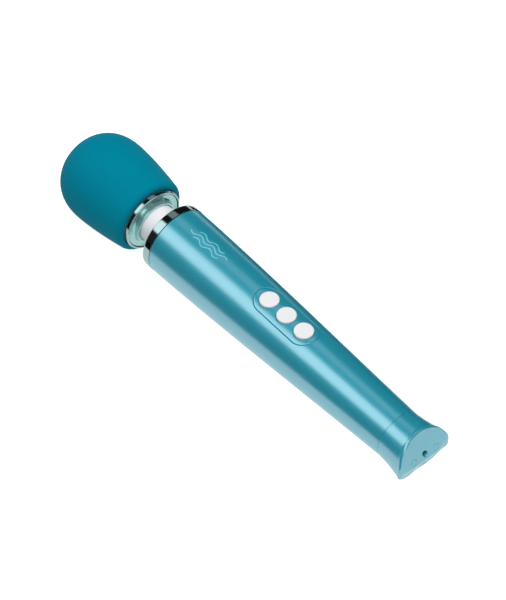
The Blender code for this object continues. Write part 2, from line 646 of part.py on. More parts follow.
def head(body):
    low = HEAD_BOTTOM_Z
    well = NECK_R + GAP
    spring_seat = SPRING_R + SPRING_WIRE_R + GAP
    motor_seat = MOTOR_R + 1.5
    base = [(well, low - 1.6), (well + 0.9, low - 1.6), (well + 0.9, low + 0.3)]  # lip round the neck
    base += [(well + 1.6, low + 0.9), (14.2, low + 0.9), (15.6, low + 0.2), (15.6, low + 2.3)]
    base += [(CUP_R, low + 2.3), (CUP_R, CUP_TOP_Z), (motor_seat, CUP_TOP_Z)]
    base += [(motor_seat, low + 5.3), (4.0, low + 5.3), (4.0, low + 3.8)]
    base += [(spring_seat, low + 3.8), (spring_seat, low + 1.4), (well, low + 1.4)]
    made = piece("head_base", turned("head_base", base, SKIN_STEPS), "tinted_chrome", body)

    ring = [(15.9, low), (16.6, low), (16.9, low + 0.4), (16.9, low + 2.0), (15.9, low + 2.2)]
    piece("head_ring", turned("head_ring", ring, SKIN_STEPS), "chrome", body)

    corner_z = low + COVER_LOW + HEAD_CORNER
    cover = arc((HEAD_LOW_R - HEAD_CORNER, corner_z), HEAD_CORNER, -90, 0, 3)
    cover += dome(corner_z, 0.0, 8)[1:]
    cover += list(reversed(dome(corner_z, COVER_WALL, 4)))
    cover += [(HEAD_LOW_R - COVER_WALL - 0.6, low + 4.4), (HEAD_LOW_R - HEAD_CORNER, low + 4.0)]
    piece("head_cap", turned("head_cap", cover, SKIN_STEPS), "teal_silicone", body)

    under = COVER_WALL + GAP
    shell = [(CUP_R + GAP, low + 2.6), (16.7, low + 2.6), (16.7, low + 4.6), (17.5, low + 5.4)]
    shell += dome(corner_z + 2.0, under, 4)
    shell += list(reversed(dome(216.0, under + 2.0, 4)))
    shell += [(CUP_R + GAP, CUP_TOP_Z + 0.5)]
    hard = piece("head_shell", turned("head_shell", shell, CORE_STEPS), "grey_plastic", body)

    for i in range(3):
        turn = (0, 90, 120 * i + 60)
        outer = head_radius(HEAD_SCREW_Z) - under
        hole = [(0, 12.0), (1.1, 12.0), (1.1, outer - 1.6), (2.0, outer - 1.6), (2.0, 25.0), (0, 25.0)]
        for target in (made, hard):
            cutter = turned("head_screw_hole", hole, SMALL_STEPS)
            shaped(target, "DIFFERENCE", cutter, at=(0, 0, HEAD_SCREW_Z), turn=turn)
        pan = [(0, 13.4), (0.8, 13.4), (0.8, outer - 1.45), (1.7, outer - 1.45), (1.7, outer - 0.3)]
        pan += [(0, outer - 0.3)]
        name = f"head_screw_{i + 1}"
        mesh = turned(name, pan, SMALL_STEPS)
        piece(name, mesh, "zinc_steel", body, at=(0, 0, HEAD_SCREW_Z), turn=turn)


def motor(body):
    low = MOTOR_LOW_Z
    top = MOTOR_TOP_Z
    bore = MOTOR_R - CAN_WALL
    can = [(bore, low), (MOTOR_R, low), (MOTOR_R, top - 0.8), (MOTOR_R - 0.8, top), (2.9, top)]
    can += [(2.9, top - 1.0), (bore, top - 1.0)]
    piece("motor_can", turned("motor_can", can, CORE_STEPS), "zinc_steel", body)
    bell = [(1.9, HEAD_BOTTOM_Z + 5.6), (MOTOR_R, HEAD_BOTTOM_Z + 5.6), (MOTOR_R, low - GAP)]
    bell += [(1.9, low - GAP)]
    piece("motor_bell", turned("motor_bell", bell, CORE_STEPS), "black_plastic", body)
    inner, outer, sleeve_top = MOTOR_R + GAP, MOTOR_R + 1.2, 224.0
    sleeve = [(inner, low), (outer, low), (outer, sleeve_top), (inner, sleeve_top)]
    piece("motor_sleeve", turned("motor_sleeve", sleeve, CORE_STEPS), "black_rubber", body)
    bushes = (("bush_top", top - 1.2, top + 1.2, 2.6), ("bush_bottom", low - 3.2, low - 0.5, 1.7))
    for name, z0, z1, r in bushes:
        bush = [(SHAFT_HOLE_R, z0), (r, z0), (r, z1), (SHAFT_HOLE_R, z1)]
        piece(name, turned(name, bush, CORE_STEPS), "brass", body)
    for name, middle in (("magnet_left", -90), ("magnet_right", 90)):
        outer = bore - GAP
        outline = arc((0, 0), outer, middle - 55, middle + 55, 10)
        outline += arc((0, 0), outer - 1.9, middle + 55, middle - 55, 10)
        piece(name, extruded(name, outline, low + 3.5, top - 5.0, along="z"), "ferrite", body)


def rotor(axis):
    low = MOTOR_LOW_Z
    piece("rotor_shaft", rod("rotor_shaft", SHAFT_R, low - 2.8, 242.0), "steel", axis)
    core = [(SHAFT_HOLE_R, low + 5.0), (ROTOR_R, low + 5.0), (ROTOR_R, MOTOR_TOP_Z - 6.0)]
    core += [(SHAFT_HOLE_R, MOTOR_TOP_Z - 6.0)]
    piece("rotor_core", turned("rotor_core", core, CORE_STEPS), "copper", axis)
    segment = [(SHAFT_HOLE_R, low + 0.6), (2.8, low + 0.6), (2.8, low + 4.4), (SHAFT_HOLE_R, low + 4.4)]
    piece("commutator", turned("commutator", segment, SMALL_STEPS), "copper", axis)

    # The weight is a half disc on one side of the shaft, with a round hub
    outline = arc((0, 0), WEIGHT_R, 90, 270, 14) + arc((0, 0), 3.2, 270, 450, 8)
    mesh = extruded("eccentric_weight", outline, WEIGHT_LOW_Z, WEIGHT_TOP_Z, along="z")
    weight = piece("eccentric_weight", mesh, "steel", axis)
    shaped(weight, "DIFFERENCE", rod("shaft_hole", SHAFT_HOLE_R, 220, 250, CORE_STEPS))
    middle = (0, 0, (WEIGHT_LOW_Z + WEIGHT_TOP_Z) / 2)
    shaped(weight, "DIFFERENCE", rod("set_hole", 0.95, 1.2, 6.0), at=middle, turn=(0, 90, 0))
    screw = rod("weight_screw", 0.8, 1.5, 3.3)
    piece("weight_screw", screw, "zinc_steel", axis, at=middle, turn=(0, 90, 0))


def build():
    for old in list(bpy.data.objects):
        bpy.data.objects.remove(old, do_unlink=True)

    root = holder("wand_frame", (0, 0, 0))
    link = holder("neck_pitch_axis", (0, 0, PITCH_Z), root)
    head_axis = holder("neck_sway_axis", (0, 0, SWAY_Z), link)
    rotor_axis = holder("rotor_axis", (0, 0, MOTOR_LOW_Z), head_axis)

    # Laid down so that the head's side and the tail's heel meet one floor
    lie = math.asin((HEAD_R - HEEL_X) / (HEAD_WIDE_Z - HEEL_Z))
    tail(root, lie)
    handle_sleeve(root)
    buttons(root)
    end_frame(root)
    carrier(root)
    battery(root)
    board(root)
    leads(root)
    neck(root, link)
    head(head_axis)
    motor(head_axis)
    rotor(rotor_axis)

    root.rotation_euler = (0, math.radians(-90) + lie, 0)
    bpy.context.view_layer.update()
    corners = []
    graph = bpy.context.evaluated_depsgraph_get()
    for item in bpy.context.scene.objects:
        if item.type == "EMPTY" or item.hide_render:
            continue
        shape = item.evaluated_get(graph)
        mesh = shape.to_mesh()
        corners += [shape.matrix_world @ vertex.co for vertex in mesh.vertices]
        shape.to_mesh_clear()
    middle_x = (min(c.x for c in corners) + max(c.x for c in corners)) / 2
    root.location = (-middle_x, 0, -min(c.z for c in corners))


build()
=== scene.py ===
import json
import math
import bmesh
import bpy
from mathutils import Matrix, Vector
from mathutils.geometry import delaunay_2d_cdt


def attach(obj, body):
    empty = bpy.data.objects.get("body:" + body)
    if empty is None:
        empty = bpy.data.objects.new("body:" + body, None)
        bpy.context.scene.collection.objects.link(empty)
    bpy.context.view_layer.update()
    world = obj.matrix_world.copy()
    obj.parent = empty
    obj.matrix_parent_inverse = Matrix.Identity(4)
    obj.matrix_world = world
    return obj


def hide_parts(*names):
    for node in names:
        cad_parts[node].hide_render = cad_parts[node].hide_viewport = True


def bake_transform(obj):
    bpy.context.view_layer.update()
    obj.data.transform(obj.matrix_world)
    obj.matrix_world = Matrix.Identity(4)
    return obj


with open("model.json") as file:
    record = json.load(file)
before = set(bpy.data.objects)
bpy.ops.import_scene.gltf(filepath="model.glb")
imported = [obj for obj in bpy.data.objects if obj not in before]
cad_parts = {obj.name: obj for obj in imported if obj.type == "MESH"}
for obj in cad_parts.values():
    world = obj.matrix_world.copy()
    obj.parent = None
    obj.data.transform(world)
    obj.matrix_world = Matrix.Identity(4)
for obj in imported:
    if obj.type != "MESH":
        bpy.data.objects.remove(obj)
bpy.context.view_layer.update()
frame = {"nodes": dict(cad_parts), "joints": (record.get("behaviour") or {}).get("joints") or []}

print("frame loaded:", len(frame["nodes"]), "pieces")

# The wand's own frame, in millimetres: z runs from the tail's ridge to the top of the head,
# x points out through the buttons. Every piece below is drawn in it and then laid down.
mm = 0.001
rotorJoint = next(joint for joint in frame["joints"] if joint["name"] == "rotor_spin")
rotorJointZ = 202.3
wandZ = Vector(rotorJoint["axis"]).normalized()
wandY = Vector((0, 1, 0))
wandX = wandY.cross(wandZ).normalized()
wandStart = Vector(rotorJoint["pos_m"]) - wandZ * rotorJointZ * mm
wandTurn = Matrix((wandX, wandY, wandZ)).transposed().to_4x4()
wandMatrix = Matrix.Translation(wandStart) @ wandTurn @ Matrix.Scale(mm, 4)


# camera and light

camera = {
    "azimuth": 49.83,      # degrees round the wand, 0 looks along +Y
    "elevation": 48.69,
    "roll": -1.93,
    "distance": 1.4066,    # metres to the aim point
    "lens": 176.3,         # mm on a 36 mm sensor
    "aim": (0.0, 0.0, 0.02),
    "slide": -0.0033,      # metres to the side, so the wand sits where it should in the frame
    "clip": (0.05, 50.0),
}

bands = {
    # what the studio shows round the wand: degrees from straight up towards -Y, and brightness
    "stops": [(-180, 0.7), (-92, 0.7), (-86, 0.01), (-39, 0.01), (-35, 0.3), (-15, 0.3),
              (-11, 0.01), (8, 0.01), (14, 1.3), (30, 1.42), (46, 1.42), (53, 0.02), (104, 0.02),
              (108, 0.7), (180, 0.7)],
    "backdrop": (1.0, 1.0, 1.0, 1.0),
}

studio = {
    "fillSize": 0.9, "fillEnergy": 12.5, "fillPlace": (0.1, 0.2, 1.2),
    "floorSize": 6.0, "floorColour": (0.5, 0.5, 0.5, 1.0),
    "floorGlow": 0.86, "floorBounce": 0.84,    # brightness to look at, and as a light from below
    "flags": (((-0.25, 0.25), -0.085, 0.03), ((-0.078, 0.13), 0.05, 0.03)),  # (from x, to x), y, height
    "flagColour": (0.01, 0.01, 0.01, 1.0),
}


def put(tree, kind, values=None, **settings):
    node = tree.nodes.new(kind)
    for key, value in settings.items():
        setattr(node, key, value)
    for key, value in (values or {}).items():
        if isinstance(value, bpy.types.NodeSocket):
            tree.links.new(value, node.inputs[key])
        else:
            node.inputs[key].default_value = value
    return node


def maths(tree, operation, *values, **settings):
    node = put(tree, "ShaderNodeMath", dict(enumerate(values)), operation=operation, **settings)
    return node.outputs[0]


def shareBetween(tree, value, low, high):
    # 0 at low and 1 at high
    node = put(tree, "ShaderNodeMapRange", {"Value": value, "From Min": low, "From Max": high})
    return node.outputs[0]


def mixColours(tree, share, first, second):
    return put(tree, "ShaderNodeMix", {0: share, 6: first, 7: second}, data_type="RGBA").outputs[2]


def newMaterial(name, values):
    # A material, its node tree and its shader, with these values on the shader's own sockets
    made = bpy.data.materials.new(name)
    made.use_nodes = True
    shader = made.node_tree.nodes["Principled BSDF"]
    for socket, value in values.items():
        shader.inputs[socket].default_value = value
    return made, made.node_tree, shader


def addObject(name, data):
    made = bpy.data.objects.new(name, data)
    bpy.context.scene.collection.objects.link(made)
    return made


def makeCamera():
    turn, lift, roll = (math.radians(camera[key]) for key in ("azimuth", "elevation", "roll"))
    back = Vector((math.sin(turn) * math.cos(lift), -math.cos(turn) * math.cos(lift), math.sin(lift)))
    level = Vector((math.cos(turn), math.sin(turn), 0))
    upright = back.cross(level)
    right = level * math.cos(roll) + upright * math.sin(roll)
    up = upright * math.cos(roll) - level * math.sin(roll)
    data = bpy.data.cameras.new("studioCamera")
    data.lens = camera["lens"]
    data.clip_start, data.clip_end = camera["clip"]
    shot = addObject("studioCamera", data)
    place = Vector(camera["aim"]) + back * camera["distance"] - right * camera["slide"]
    turned = Matrix((right, up, back)).transposed().to_4x4()
    shot.matrix_world = Matrix.Translation(place) @ turned
    bpy.context.scene.camera = shot


def makeWorld():
    # Long soft boxes and dark gaps run along the wand, and the backdrop itself is plain
    world = bpy.data.worlds.new("studioWorld")
    world.use_nodes = True
    tree = world.node_tree
    tree.nodes.clear()
    coords = put(tree, "ShaderNodeTexCoord")
    parts = put(tree, "ShaderNodeSeparateXYZ", {0: coords.outputs["Generated"]})
    side = maths(tree, "MULTIPLY", parts.outputs["Y"], -1.0)
    angle = maths(tree, "ARCTAN2", side, parts.outputs["Z"])
    ramp = put(tree, "ShaderNodeValToRGB", {"Fac": shareBetween(tree, angle, -math.pi, math.pi)})
    brightest = max(value for _, value in bands["stops"])
    stops = ramp.color_ramp.elements
    while len(stops) > 1:
        stops.remove(stops[-1])
    for i, (degrees, value) in enumerate(bands["stops"]):
        place = (degrees + 180) / 360
        stop = stops[0] if i == 0 else stops.new(place)
        stop.position = place
        level = value / brightest
        stop.color = (level, level, level, 1.0)
    light = put(tree, "ShaderNodeBackground", {"Color": ramp.outputs["Color"], "Strength": brightest})
    plain = put(tree, "ShaderNodeBackground", {"Color": bands["backdrop"], "Strength": 1.0})
    path = put(tree, "ShaderNodeLightPath")
    mixed = put(tree, "ShaderNodeMixShader", {0: path.outputs["Is Camera Ray"], 1: light.outputs[0],
                                              2: plain.outputs[0]})
    put(tree, "ShaderNodeOutputWorld", {"Surface": mixed.outputs[0]})
    bpy.context.scene.world = world
    bpy.context.scene.view_settings.view_transform = "Standard"


def addQuads(name, quads, material):
    # A studio object made of flat faces with four corners
    bm = bmesh.new()
    for corners in quads:
        bm.faces.new([bm.verts.new(corner) for corner in corners])
    mesh = bpy.data.meshes.new(name)
    bm.to_mesh(mesh)
    bm.free()
    mesh.materials.append(material)
    return addObject(name, mesh)


def makeStudio():
    lamp = bpy.data.lights.new("overheadFill", "AREA")
    lamp.shape = "SQUARE"
    lamp.size = studio["fillSize"]
    lamp.energy = studio["fillEnergy"]
    fill = addObject("overheadFill", lamp)
    fill.location = studio["fillPlace"]
    fill.rotation_euler = (-fill.location).to_track_quat("-Z", "Y").to_euler()
    fill.visible_glossy = False
    fill.visible_camera = False

    # Pale paper, bright to look at and a little dimmer as a light from below
    paper, tree, shader = newMaterial("palePaper", {
        "Roughness": 0.9, "Specular IOR Level": 0.0, "Emission Color": (1, 1, 1, 1)})
    seen = put(tree, "ShaderNodeLightPath").outputs["Is Camera Ray"]
    glow = put(tree, "ShaderNodeMapRange", {"Value": seen, "To Min": studio["floorBounce"],
                                            "To Max": studio["floorGlow"]})
    tree.links.new(glow.outputs[0], shader.inputs["Emission Strength"])
    tone = mixColours(tree, seen, (0, 0, 0, 1), studio["floorColour"])
    tree.links.new(tone, shader.inputs["Base Color"])
    half = studio["floorSize"] / 2
    corners = ((-half, -half, 0), (half, -half, 0), (half, half, 0), (-half, half, 0))
    floor = addQuads("studioFloor", [corners], paper)

    # Low black flags beside the wand, seen only in its gloss
    felt, _, _ = newMaterial("blackFelt", {"Base Color": studio["flagColour"], "Roughness": 1.0,
                                           "Specular IOR Level": 0.0})
    flag = addQuads("blackFlag", [((near, y, 0), (far, y, 0), (far, y, tall), (near, y, tall))
                                  for (near, far), y, tall in studio["flags"]], felt)
    flag.visible_camera = False
    flag.visible_diffuse = False
    flag.visible_shadow = False


makeCamera()
makeWorld()
makeStudio()
print("camera and studio ready")


# node groups that several finishes share

def newGroup(name, inputs, outputs):
    # A colour has four numbers and everything else is one number
    group = bpy.data.node_groups.new(name, "ShaderNodeTree")
    for label, value in inputs.items():
        kind = "NodeSocketColor" if isinstance(value, tuple) else "NodeSocketFloat"
        group.interface.new_socket(label, in_out="INPUT", socket_type=kind).default_value = value
    for label in outputs:
        kind = "NodeSocketColor" if label == "Colour" else "NodeSocketFloat"
        group.interface.new_socket(label, in_out="OUTPUT", socket_type=kind)
    return group, put(group, "NodeGroupInput").outputs, put(group, "NodeGroupOutput")


def placeOn(tree):
    return put(tree, "ShaderNodeTexCoord").outputs["Object"]


def noiseAt(tree, place, size, detail=2.0, roughness=0.5):
    # Noise whose lumps are about this many metres across
    return put(tree, "ShaderNodeTexNoise", {"Vector": place, "Scale": maths(tree, "DIVIDE", 1.0, size),
                                            "Detail": detail, "Roughness": roughness}).outputs[0]


def cellsAt(tree, place, size, share=1.0):
    # Cells about this many metres across, smaller where share is above 1
    scale = maths(tree, "DIVIDE", share, size)
    return put(tree, "ShaderNodeTexVoronoi", {"Vector": place, "Scale": scale})


def makeColourDrift():
    # Soft patches of a second shade
    group, given, made = newGroup("colourDrift", {
        "Colour": (0.5, 0.5, 0.5, 1), "Shade": (0.3, 0.3, 0.3, 1), "Amount": 0.2, "Size": 0.01
    }, ["Colour"])
    noise = noiseAt(group, placeOn(group), given["Size"], 3.0)
    share = maths(group, "MULTIPLY", shareBetween(group, noise, 0.35, 0.65), given["Amount"])
    drifted = mixColours(group, share, given["Colour"], given["Shade"])
    group.links.new(drifted, made.inputs["Colour"])
    return group


def makeHandlingMarks():
    # Faint smears from fingers: the roughness rises in soft patches
    group, given, made = newGroup("handlingMarks", {"Roughness": 0.4, "Amount": 0.1, "Size": 0.008},
                                  ["Roughness"])
    noise = noiseAt(group, placeOn(group), given["Size"], 4.0, 0.6)
    extra = maths(group, "MULTIPLY", shareBetween(group, noise, 0.45, 0.7), given["Amount"])
    total = maths(group, "ADD", given["Roughness"], extra, use_clamp=True)
    group.links.new(total, made.inputs["Roughness"])
    return group


def makeFineGrain():
    # The tiny unevenness of a moulded or sprayed surface
    group, given, made = newGroup("fineGrain", {"Size": 0.0003}, ["Height"])
    place, size = placeOn(group), given["Size"]
    noise = noiseAt(group, place, size, 2.0, 0.6)
    cells = cellsAt(group, place, size, 0.7)
    height = maths(group, "MULTIPLY", noise, cells.outputs["Distance"])
    group.links.new(height, made.inputs["Height"])
    return group


def makeFlakes():
    # Flat flakes under the lacquer, each tilted its own way
    group, given, made = newGroup("lacquerFlakes", {"Size": 0.0002, "Share": 0.5}, ["Mask", "Height"])
    cells = cellsAt(group, placeOn(group), given["Size"])
    tone = put(group, "ShaderNodeSeparateColor", {0: cells.outputs["Color"]})
    shown = maths(group, "MULTIPLY", tone.outputs[0], given["Share"])
    group.links.new(shown, made.inputs["Mask"])
    group.links.new(tone.outputs[1], made.inputs["Height"])
    return group


def makeEdgeWear():
    # Lighter, rubbed corners, found from how sharply the surface turns and broken up by noise
    group, given, made = newGroup("edgeWear", {
        "Colour": (0.5, 0.5, 0.5, 1), "Worn": (0.8, 0.8, 0.8, 1), "Amount": 0.3}, ["Colour"])
    noise = noiseAt(group, placeOn(group), 0.003, 3.0)
    shape = put(group, "ShaderNodeNewGeometry")
    edge = shareBetween(group, shape.outputs["Pointiness"], 0.53, 0.62)
    share = maths(group, "MULTIPLY", maths(group, "MULTIPLY", edge, noise), given["Amount"])
    rubbed = mixColours(group, share, given["Colour"], given["Worn"])
    group.links.new(rubbed, made.inputs["Colour"])
    return group


def makeTurnedLines():
    # Fine rings left by turning or winding, along the wand's axis
    group, given, made = newGroup("turnedLines", {"Pitch": 0.0003}, ["Height"])
    along = put(group, "ShaderNodeVectorMath", {0: placeOn(group), 1: tuple(wandZ)},
                operation="DOT_PRODUCT")
    turns = maths(group, "DIVIDE", along.outputs["Value"], given["Pitch"])
    wave = maths(group, "SINE", maths(group, "MULTIPLY", turns, 2 * math.pi))
    group.links.new(wave, made.inputs["Height"])
    return group


colourDrift = makeColourDrift()
handlingMarks = makeHandlingMarks()
fineGrain = makeFineGrain()
lacquerFlakes = makeFlakes()
edgeWear = makeEdgeWear()
turnedLines = makeTurnedLines()
print("node groups ready")


def use(tree, group, values):
    return put(tree, "ShaderNodeGroup", values, node_tree=group)


def driftOf(tree, look):
    return use(tree, colourDrift, {"Colour": (*look["colour"], 1), "Shade": (*look["shade"], 1),
                                   "Amount": look.get("drift", 0.6),
                                   "Size": look.get("driftSize", 0.006)}).outputs[0]


def coverSurface(tree, shader, look, colour, height, depth):
    # What every finish ends in: rubbed edges, handling marks and a fine relief
    worn = use(tree, edgeWear, {"Colour": colour, "Worn": (*look.get("worn", look["colour"]), 1),
                                "Amount": look.get("wear", 0.4)})
    marks = use(tree, handlingMarks, {"Roughness": look["roughness"], "Amount": look.get("marks", 0.06),
                                      "Size": look.get("markSize", 0.007)})
    bump = put(tree, "ShaderNodeBump", {"Height": height, "Strength": look.get("bump", 0.15),
                                        "Distance": depth})
    for socket, node in (("Base Color", worn), ("Roughness", marks), ("Normal", bump)):
        tree.links.new(node.outputs[0], shader.inputs[socket])


def makeFinish(name, look):
    # A plain finish, with fine grain or turned lines
    made, tree, shader = newMaterial(name, look.get("shader", {}))
    if "lines" in look:
        relief = use(tree, turnedLines, {"Pitch": look["lines"]})
    else:
        relief = use(tree, fineGrain, {"Size": look.get("grain", 0.0003)})
    coverSurface(tree, shader, look, driftOf(tree, look), relief.outputs["Height"], 0.0001)
    return made


def makePearlPaint(name, look):
    # Light teal metallic base with flakes, under a clear glossy lacquer
    made, tree, shader = newMaterial(name, look["shader"])
    flakes = use(tree, lacquerFlakes, {"Size": look["flakeSize"], "Share": look["flakeShare"]})
    sparkle = mixColours(tree, flakes.outputs["Mask"], driftOf(tree, look), (*look["flakeColour"], 1))
    coverSurface(tree, shader, look, sparkle, flakes.outputs["Height"], 0.00002)
    return made


pearlLook = {
    "colour": (0.015, 0.46, 0.64), "shade": (0.012, 0.43, 0.6), "drift": 0.5, "driftSize": 0.02,
    "flakeColour": (0.05, 0.5, 0.6), "flakeSize": 0.00016, "flakeShare": 0.3,
    "worn": (0.25, 0.6, 0.66), "wear": 0.5,
    "roughness": 0.4, "marks": 0.04, "markSize": 0.012, "bump": 0.12,
    "shader": {"Metallic": 0.4, "IOR": 2.0, "Specular Tint": (0.3, 0.95, 1.0, 1.0), "Coat Weight": 1.0,
               "Coat Roughness": 0.24, "Coat IOR": 2.8},
}

finishLooks = {
    "chrome": {
        "colour": (0.42, 0.60, 0.61), "shade": (0.39, 0.57, 0.58), "roughness": 0.045, "marks": 0.05,
        "wear": 0.2, "worn": (0.6, 0.72, 0.72), "grain": 0.0006, "bump": 0.01,
        "shader": {"Metallic": 1.0}},
    "tinted_chrome": {
        "colour": (0.44, 0.74, 0.72), "shade": (0.40, 0.71, 0.70), "roughness": 0.2, "marks": 0.03,
        "wear": 0.2, "worn": (0.6, 0.75, 0.74), "grain": 0.0006, "bump": 0.004,
        "shader": {"Metallic": 0.8}},
    "teal_silicone": {
        "colour": (0.0, 0.2, 0.29), "shade": (0.0, 0.192, 0.28), "roughness": 0.62, "marks": 0.06,
        "markSize": 0.015, "wear": 0.0, "grain": 0.00022, "bump": 0.22, "driftSize": 0.02,
        "shader": {"Specular IOR Level": 0.03}},
    "white_silicone": {
        "colour": (0.79, 0.80, 0.84), "shade": (0.76, 0.77, 0.81), "roughness": 0.5, "wear": 0.0,
        "grain": 0.0003, "bump": 0.12,
        "shader": {"Specular IOR Level": 0.3, "Subsurface Weight": 0.1, "Subsurface Scale": 0.002,
                   "Subsurface Radius": (1.0, 0.8, 0.9)}},
    "white_plastic": {
        "colour": (0.74, 0.755, 0.77), "shade": (0.71, 0.735, 0.75), "roughness": 0.32, "wear": 0.0,
        "grain": 0.00035, "bump": 0.08,
        "shader": {"Subsurface Weight": 0.15, "Subsurface Scale": 0.001,
                   "Subsurface Radius": (1.0, 1.0, 1.0)}},
    "black_plastic": {
        "colour": (0.022, 0.023, 0.025), "shade": (0.03, 0.031, 0.034), "roughness": 0.45,
        "grain": 0.0003, "bump": 0.3, "worn": (0.09, 0.09, 0.09)},
    "grey_plastic": {
        "colour": (0.32, 0.33, 0.35), "shade": (0.28, 0.29, 0.31), "roughness": 0.5, "grain": 0.0004,
        "bump": 0.3, "worn": (0.45, 0.46, 0.48)},
    "black_rubber": {
        "colour": (0.016, 0.016, 0.017), "shade": (0.024, 0.024, 0.025), "roughness": 0.75,
        "grain": 0.0002, "bump": 0.4},
    "steel": {
        "colour": (0.56, 0.56, 0.57), "shade": (0.5, 0.5, 0.52), "roughness": 0.28, "lines": 0.00025,
        "bump": 0.12, "worn": (0.7, 0.7, 0.7), "shader": {"Metallic": 1.0}},
    "zinc_steel": {
        "colour": (0.63, 0.64, 0.62), "shade": (0.5, 0.53, 0.55), "roughness": 0.36, "grain": 0.0008,
        "driftSize": 0.002, "bump": 0.15, "worn": (0.75, 0.75, 0.73), "shader": {"Metallic": 1.0}},
    "brass": {
        "colour": (0.72, 0.50, 0.2), "shade": (0.6, 0.38, 0.14), "roughness": 0.3, "lines": 0.0002,
        "bump": 0.1, "worn": (0.85, 0.65, 0.3), "shader": {"Metallic": 1.0}},
    "copper": {
        "colour": (0.72, 0.30, 0.16), "shade": (0.55, 0.2, 0.1), "roughness": 0.35, "lines": 0.0004,
        "bump": 0.4, "worn": (0.85, 0.45, 0.3), "shader": {"Metallic": 1.0}},
    "ferrite": {
        "colour": (0.06, 0.06, 0.065), "shade": (0.09, 0.09, 0.095), "roughness": 0.7, "grain": 0.0005,
        "bump": 0.5, "worn": (0.15, 0.15, 0.15)},
    "cell_sleeve": {
        "colour": (0.05, 0.16, 0.42), "shade": (0.04, 0.13, 0.36), "roughness": 0.35, "grain": 0.002,
        "bump": 0.2, "worn": (0.2, 0.35, 0.6)},
    "board_green": {
        "colour": (0.01, 0.14, 0.05), "shade": (0.02, 0.2, 0.08), "roughness": 0.4, "grain": 0.0006,
        "driftSize": 0.0015, "bump": 0.3, "worn": (0.3, 0.35, 0.2)},
    "lead_red": {
        "colour": (0.5, 0.015, 0.015), "shade": (0.42, 0.01, 0.01), "roughness": 0.45, "grain": 0.0004,
        "bump": 0.15},
    "lead_black": {
        "colour": (0.016, 0.016, 0.016), "shade": (0.025, 0.025, 0.025), "roughness": 0.45,
        "grain": 0.0004, "bump": 0.15},
}

finishNames = {
    "chrome": "polishedBand", "tinted_chrome": "aquaDish", "teal_silicone": "softTealCover",
    "white_silicone": "neckRubber", "white_plastic": "keyPlastic", "black_plastic": "blackMoulding",
    "grey_plastic": "chassisMoulding", "black_rubber": "sealRubber", "steel": "turnedSteel",
    "zinc_steel": "zincPlate", "brass": "brassBush", "copper": "copperWinding",
    "ferrite": "magnetFerrite", "cell_sleeve": "cellWrap", "board_green": "boardLacquer",
    "lead_red": "redLead", "lead_black": "blackLead",
}

finishes = {slot: makeFinish(finishNames[slot], look) for slot, look in finishLooks.items()}
finishes["pearl_paint"] = makePearlPaint("pearlTealPaint", pearlLook)

for node in frame["nodes"].values():
    for slot in node.material_slots:
        slot.material = finishes[slot.material.name.split(".")[0]]
print("finishes ready:", len(finishes))


# outlines and makers

def spaced(low, high, steps):
    return [low + (high - low) * i / steps for i in range(steps + 1)]


def roundCorners(corners, hold=0.3, fineness=14):
    # Outline from corners (r, z) or (r, z, rounding), with a hold point on each side of a rounding
    outline = []
    for i, corner in enumerate(corners):
        here = Vector(corner[:2])
        if len(corner) < 3:
            outline.append(here)
            continue
        back = Vector(corners[i - 1][:2]) - here
        ahead = Vector(corners[(i + 1) % len(corners)][:2]) - here
        half = back.angle(ahead) / 2
        reach = min(corner[2] / math.tan(half), 0.45 * min(back.length, ahead.length))
        radius = reach * math.tan(half)
        middle = here + (back.normalized() + ahead.normalized()).normalized() * radius / math.sin(half)
        start = here + back.normalized() * reach - middle
        end = here + ahead.normalized() * reach - middle
        sweep = start.angle_signed(end)
        steps = max(3, math.ceil(abs(math.degrees(sweep)) / fineness))
        if back.length > reach + 2 * hold:
            outline.append(here + back.normalized() * (reach + hold))
        for share in spaced(0, -sweep, steps):
            cosine, sine = math.cos(share), math.sin(share)
            outline.append(middle + Vector((start.x * cosine - start.y * sine,
                                            start.x * sine + start.y * cosine)))
        if ahead.length > reach + 2 * hold:
            outline.append(here + ahead.normalized() * (reach + hold))
    return outline


def vertsOf(loop):
    return [vert for vert, _ in loop]


def bridge(bm, ringA, ringB):
    count = len(ringA)
    for i in range(count):
        j = (i + 1) % count
        corners = list(dict.fromkeys((ringA[i], ringA[j], ringB[j], ringB[i])))
        if len(corners) > 2:
            bm.faces.new(corners)


def ringAt(bm, r, z, steps):
    turns = [2 * math.pi * i / steps for i in range(steps)]
    return [bm.verts.new((r * math.cos(turn), r * math.sin(turn), z)) for turn in turns]


def turnOutline(bm, outline, steps, closed=True):
    # Turns (r, z) points about z; a point on the axis becomes a pole
    rings = [ringAt(bm, r, z, steps) if r > 1e-6 else [bm.verts.new((0, 0, z))] * steps
             for r, z in outline]
    following = rings[1:] + rings[:1] if closed else rings[1:]
    for low, high in zip(rings, following):
        bridge(bm, low, high)


def closeTube(bm, rings):
    # Joins rings into a tube with a face at each end
    for ringA, ringB in zip(rings, rings[1:]):
        bridge(bm, ringA, ringB)
    bm.faces.new(rings[0])
    bm.faces.new(rings[-1])


def addPiece(name, bm, slot, body, stands=(), place=wandMatrix, sharp=40):
    loose = [vert for vert in bm.verts if not vert.link_faces]
    bmesh.ops.delete(bm, geom=loose, context="VERTS")
    bmesh.ops.recalc_face_normals(bm, faces=bm.faces)
    mesh = bpy.data.meshes.new(name)
    bm.to_mesh(mesh)
    bm.free()
    mesh.transform(place)
    mesh.shade_smooth()
    mesh.set_sharp_from_angle(angle=math.radians(sharp))
    mesh.materials.append(finishes[slot])
    piece = addObject(name, mesh)
    if body:
        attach(piece, body)
    if stands:
        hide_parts(*stands)
    return piece


def within(point, polygon):
    inside = False
    px, py = point
    for i in range(len(polygon)):
        ax, ay = polygon[i - 1]
        bx, by = polygon[i]
        if (ay > py) != (by > py) and px < (bx - ax) * (py - ay) / (by - ay) + ax:
            inside = not inside
    return inside


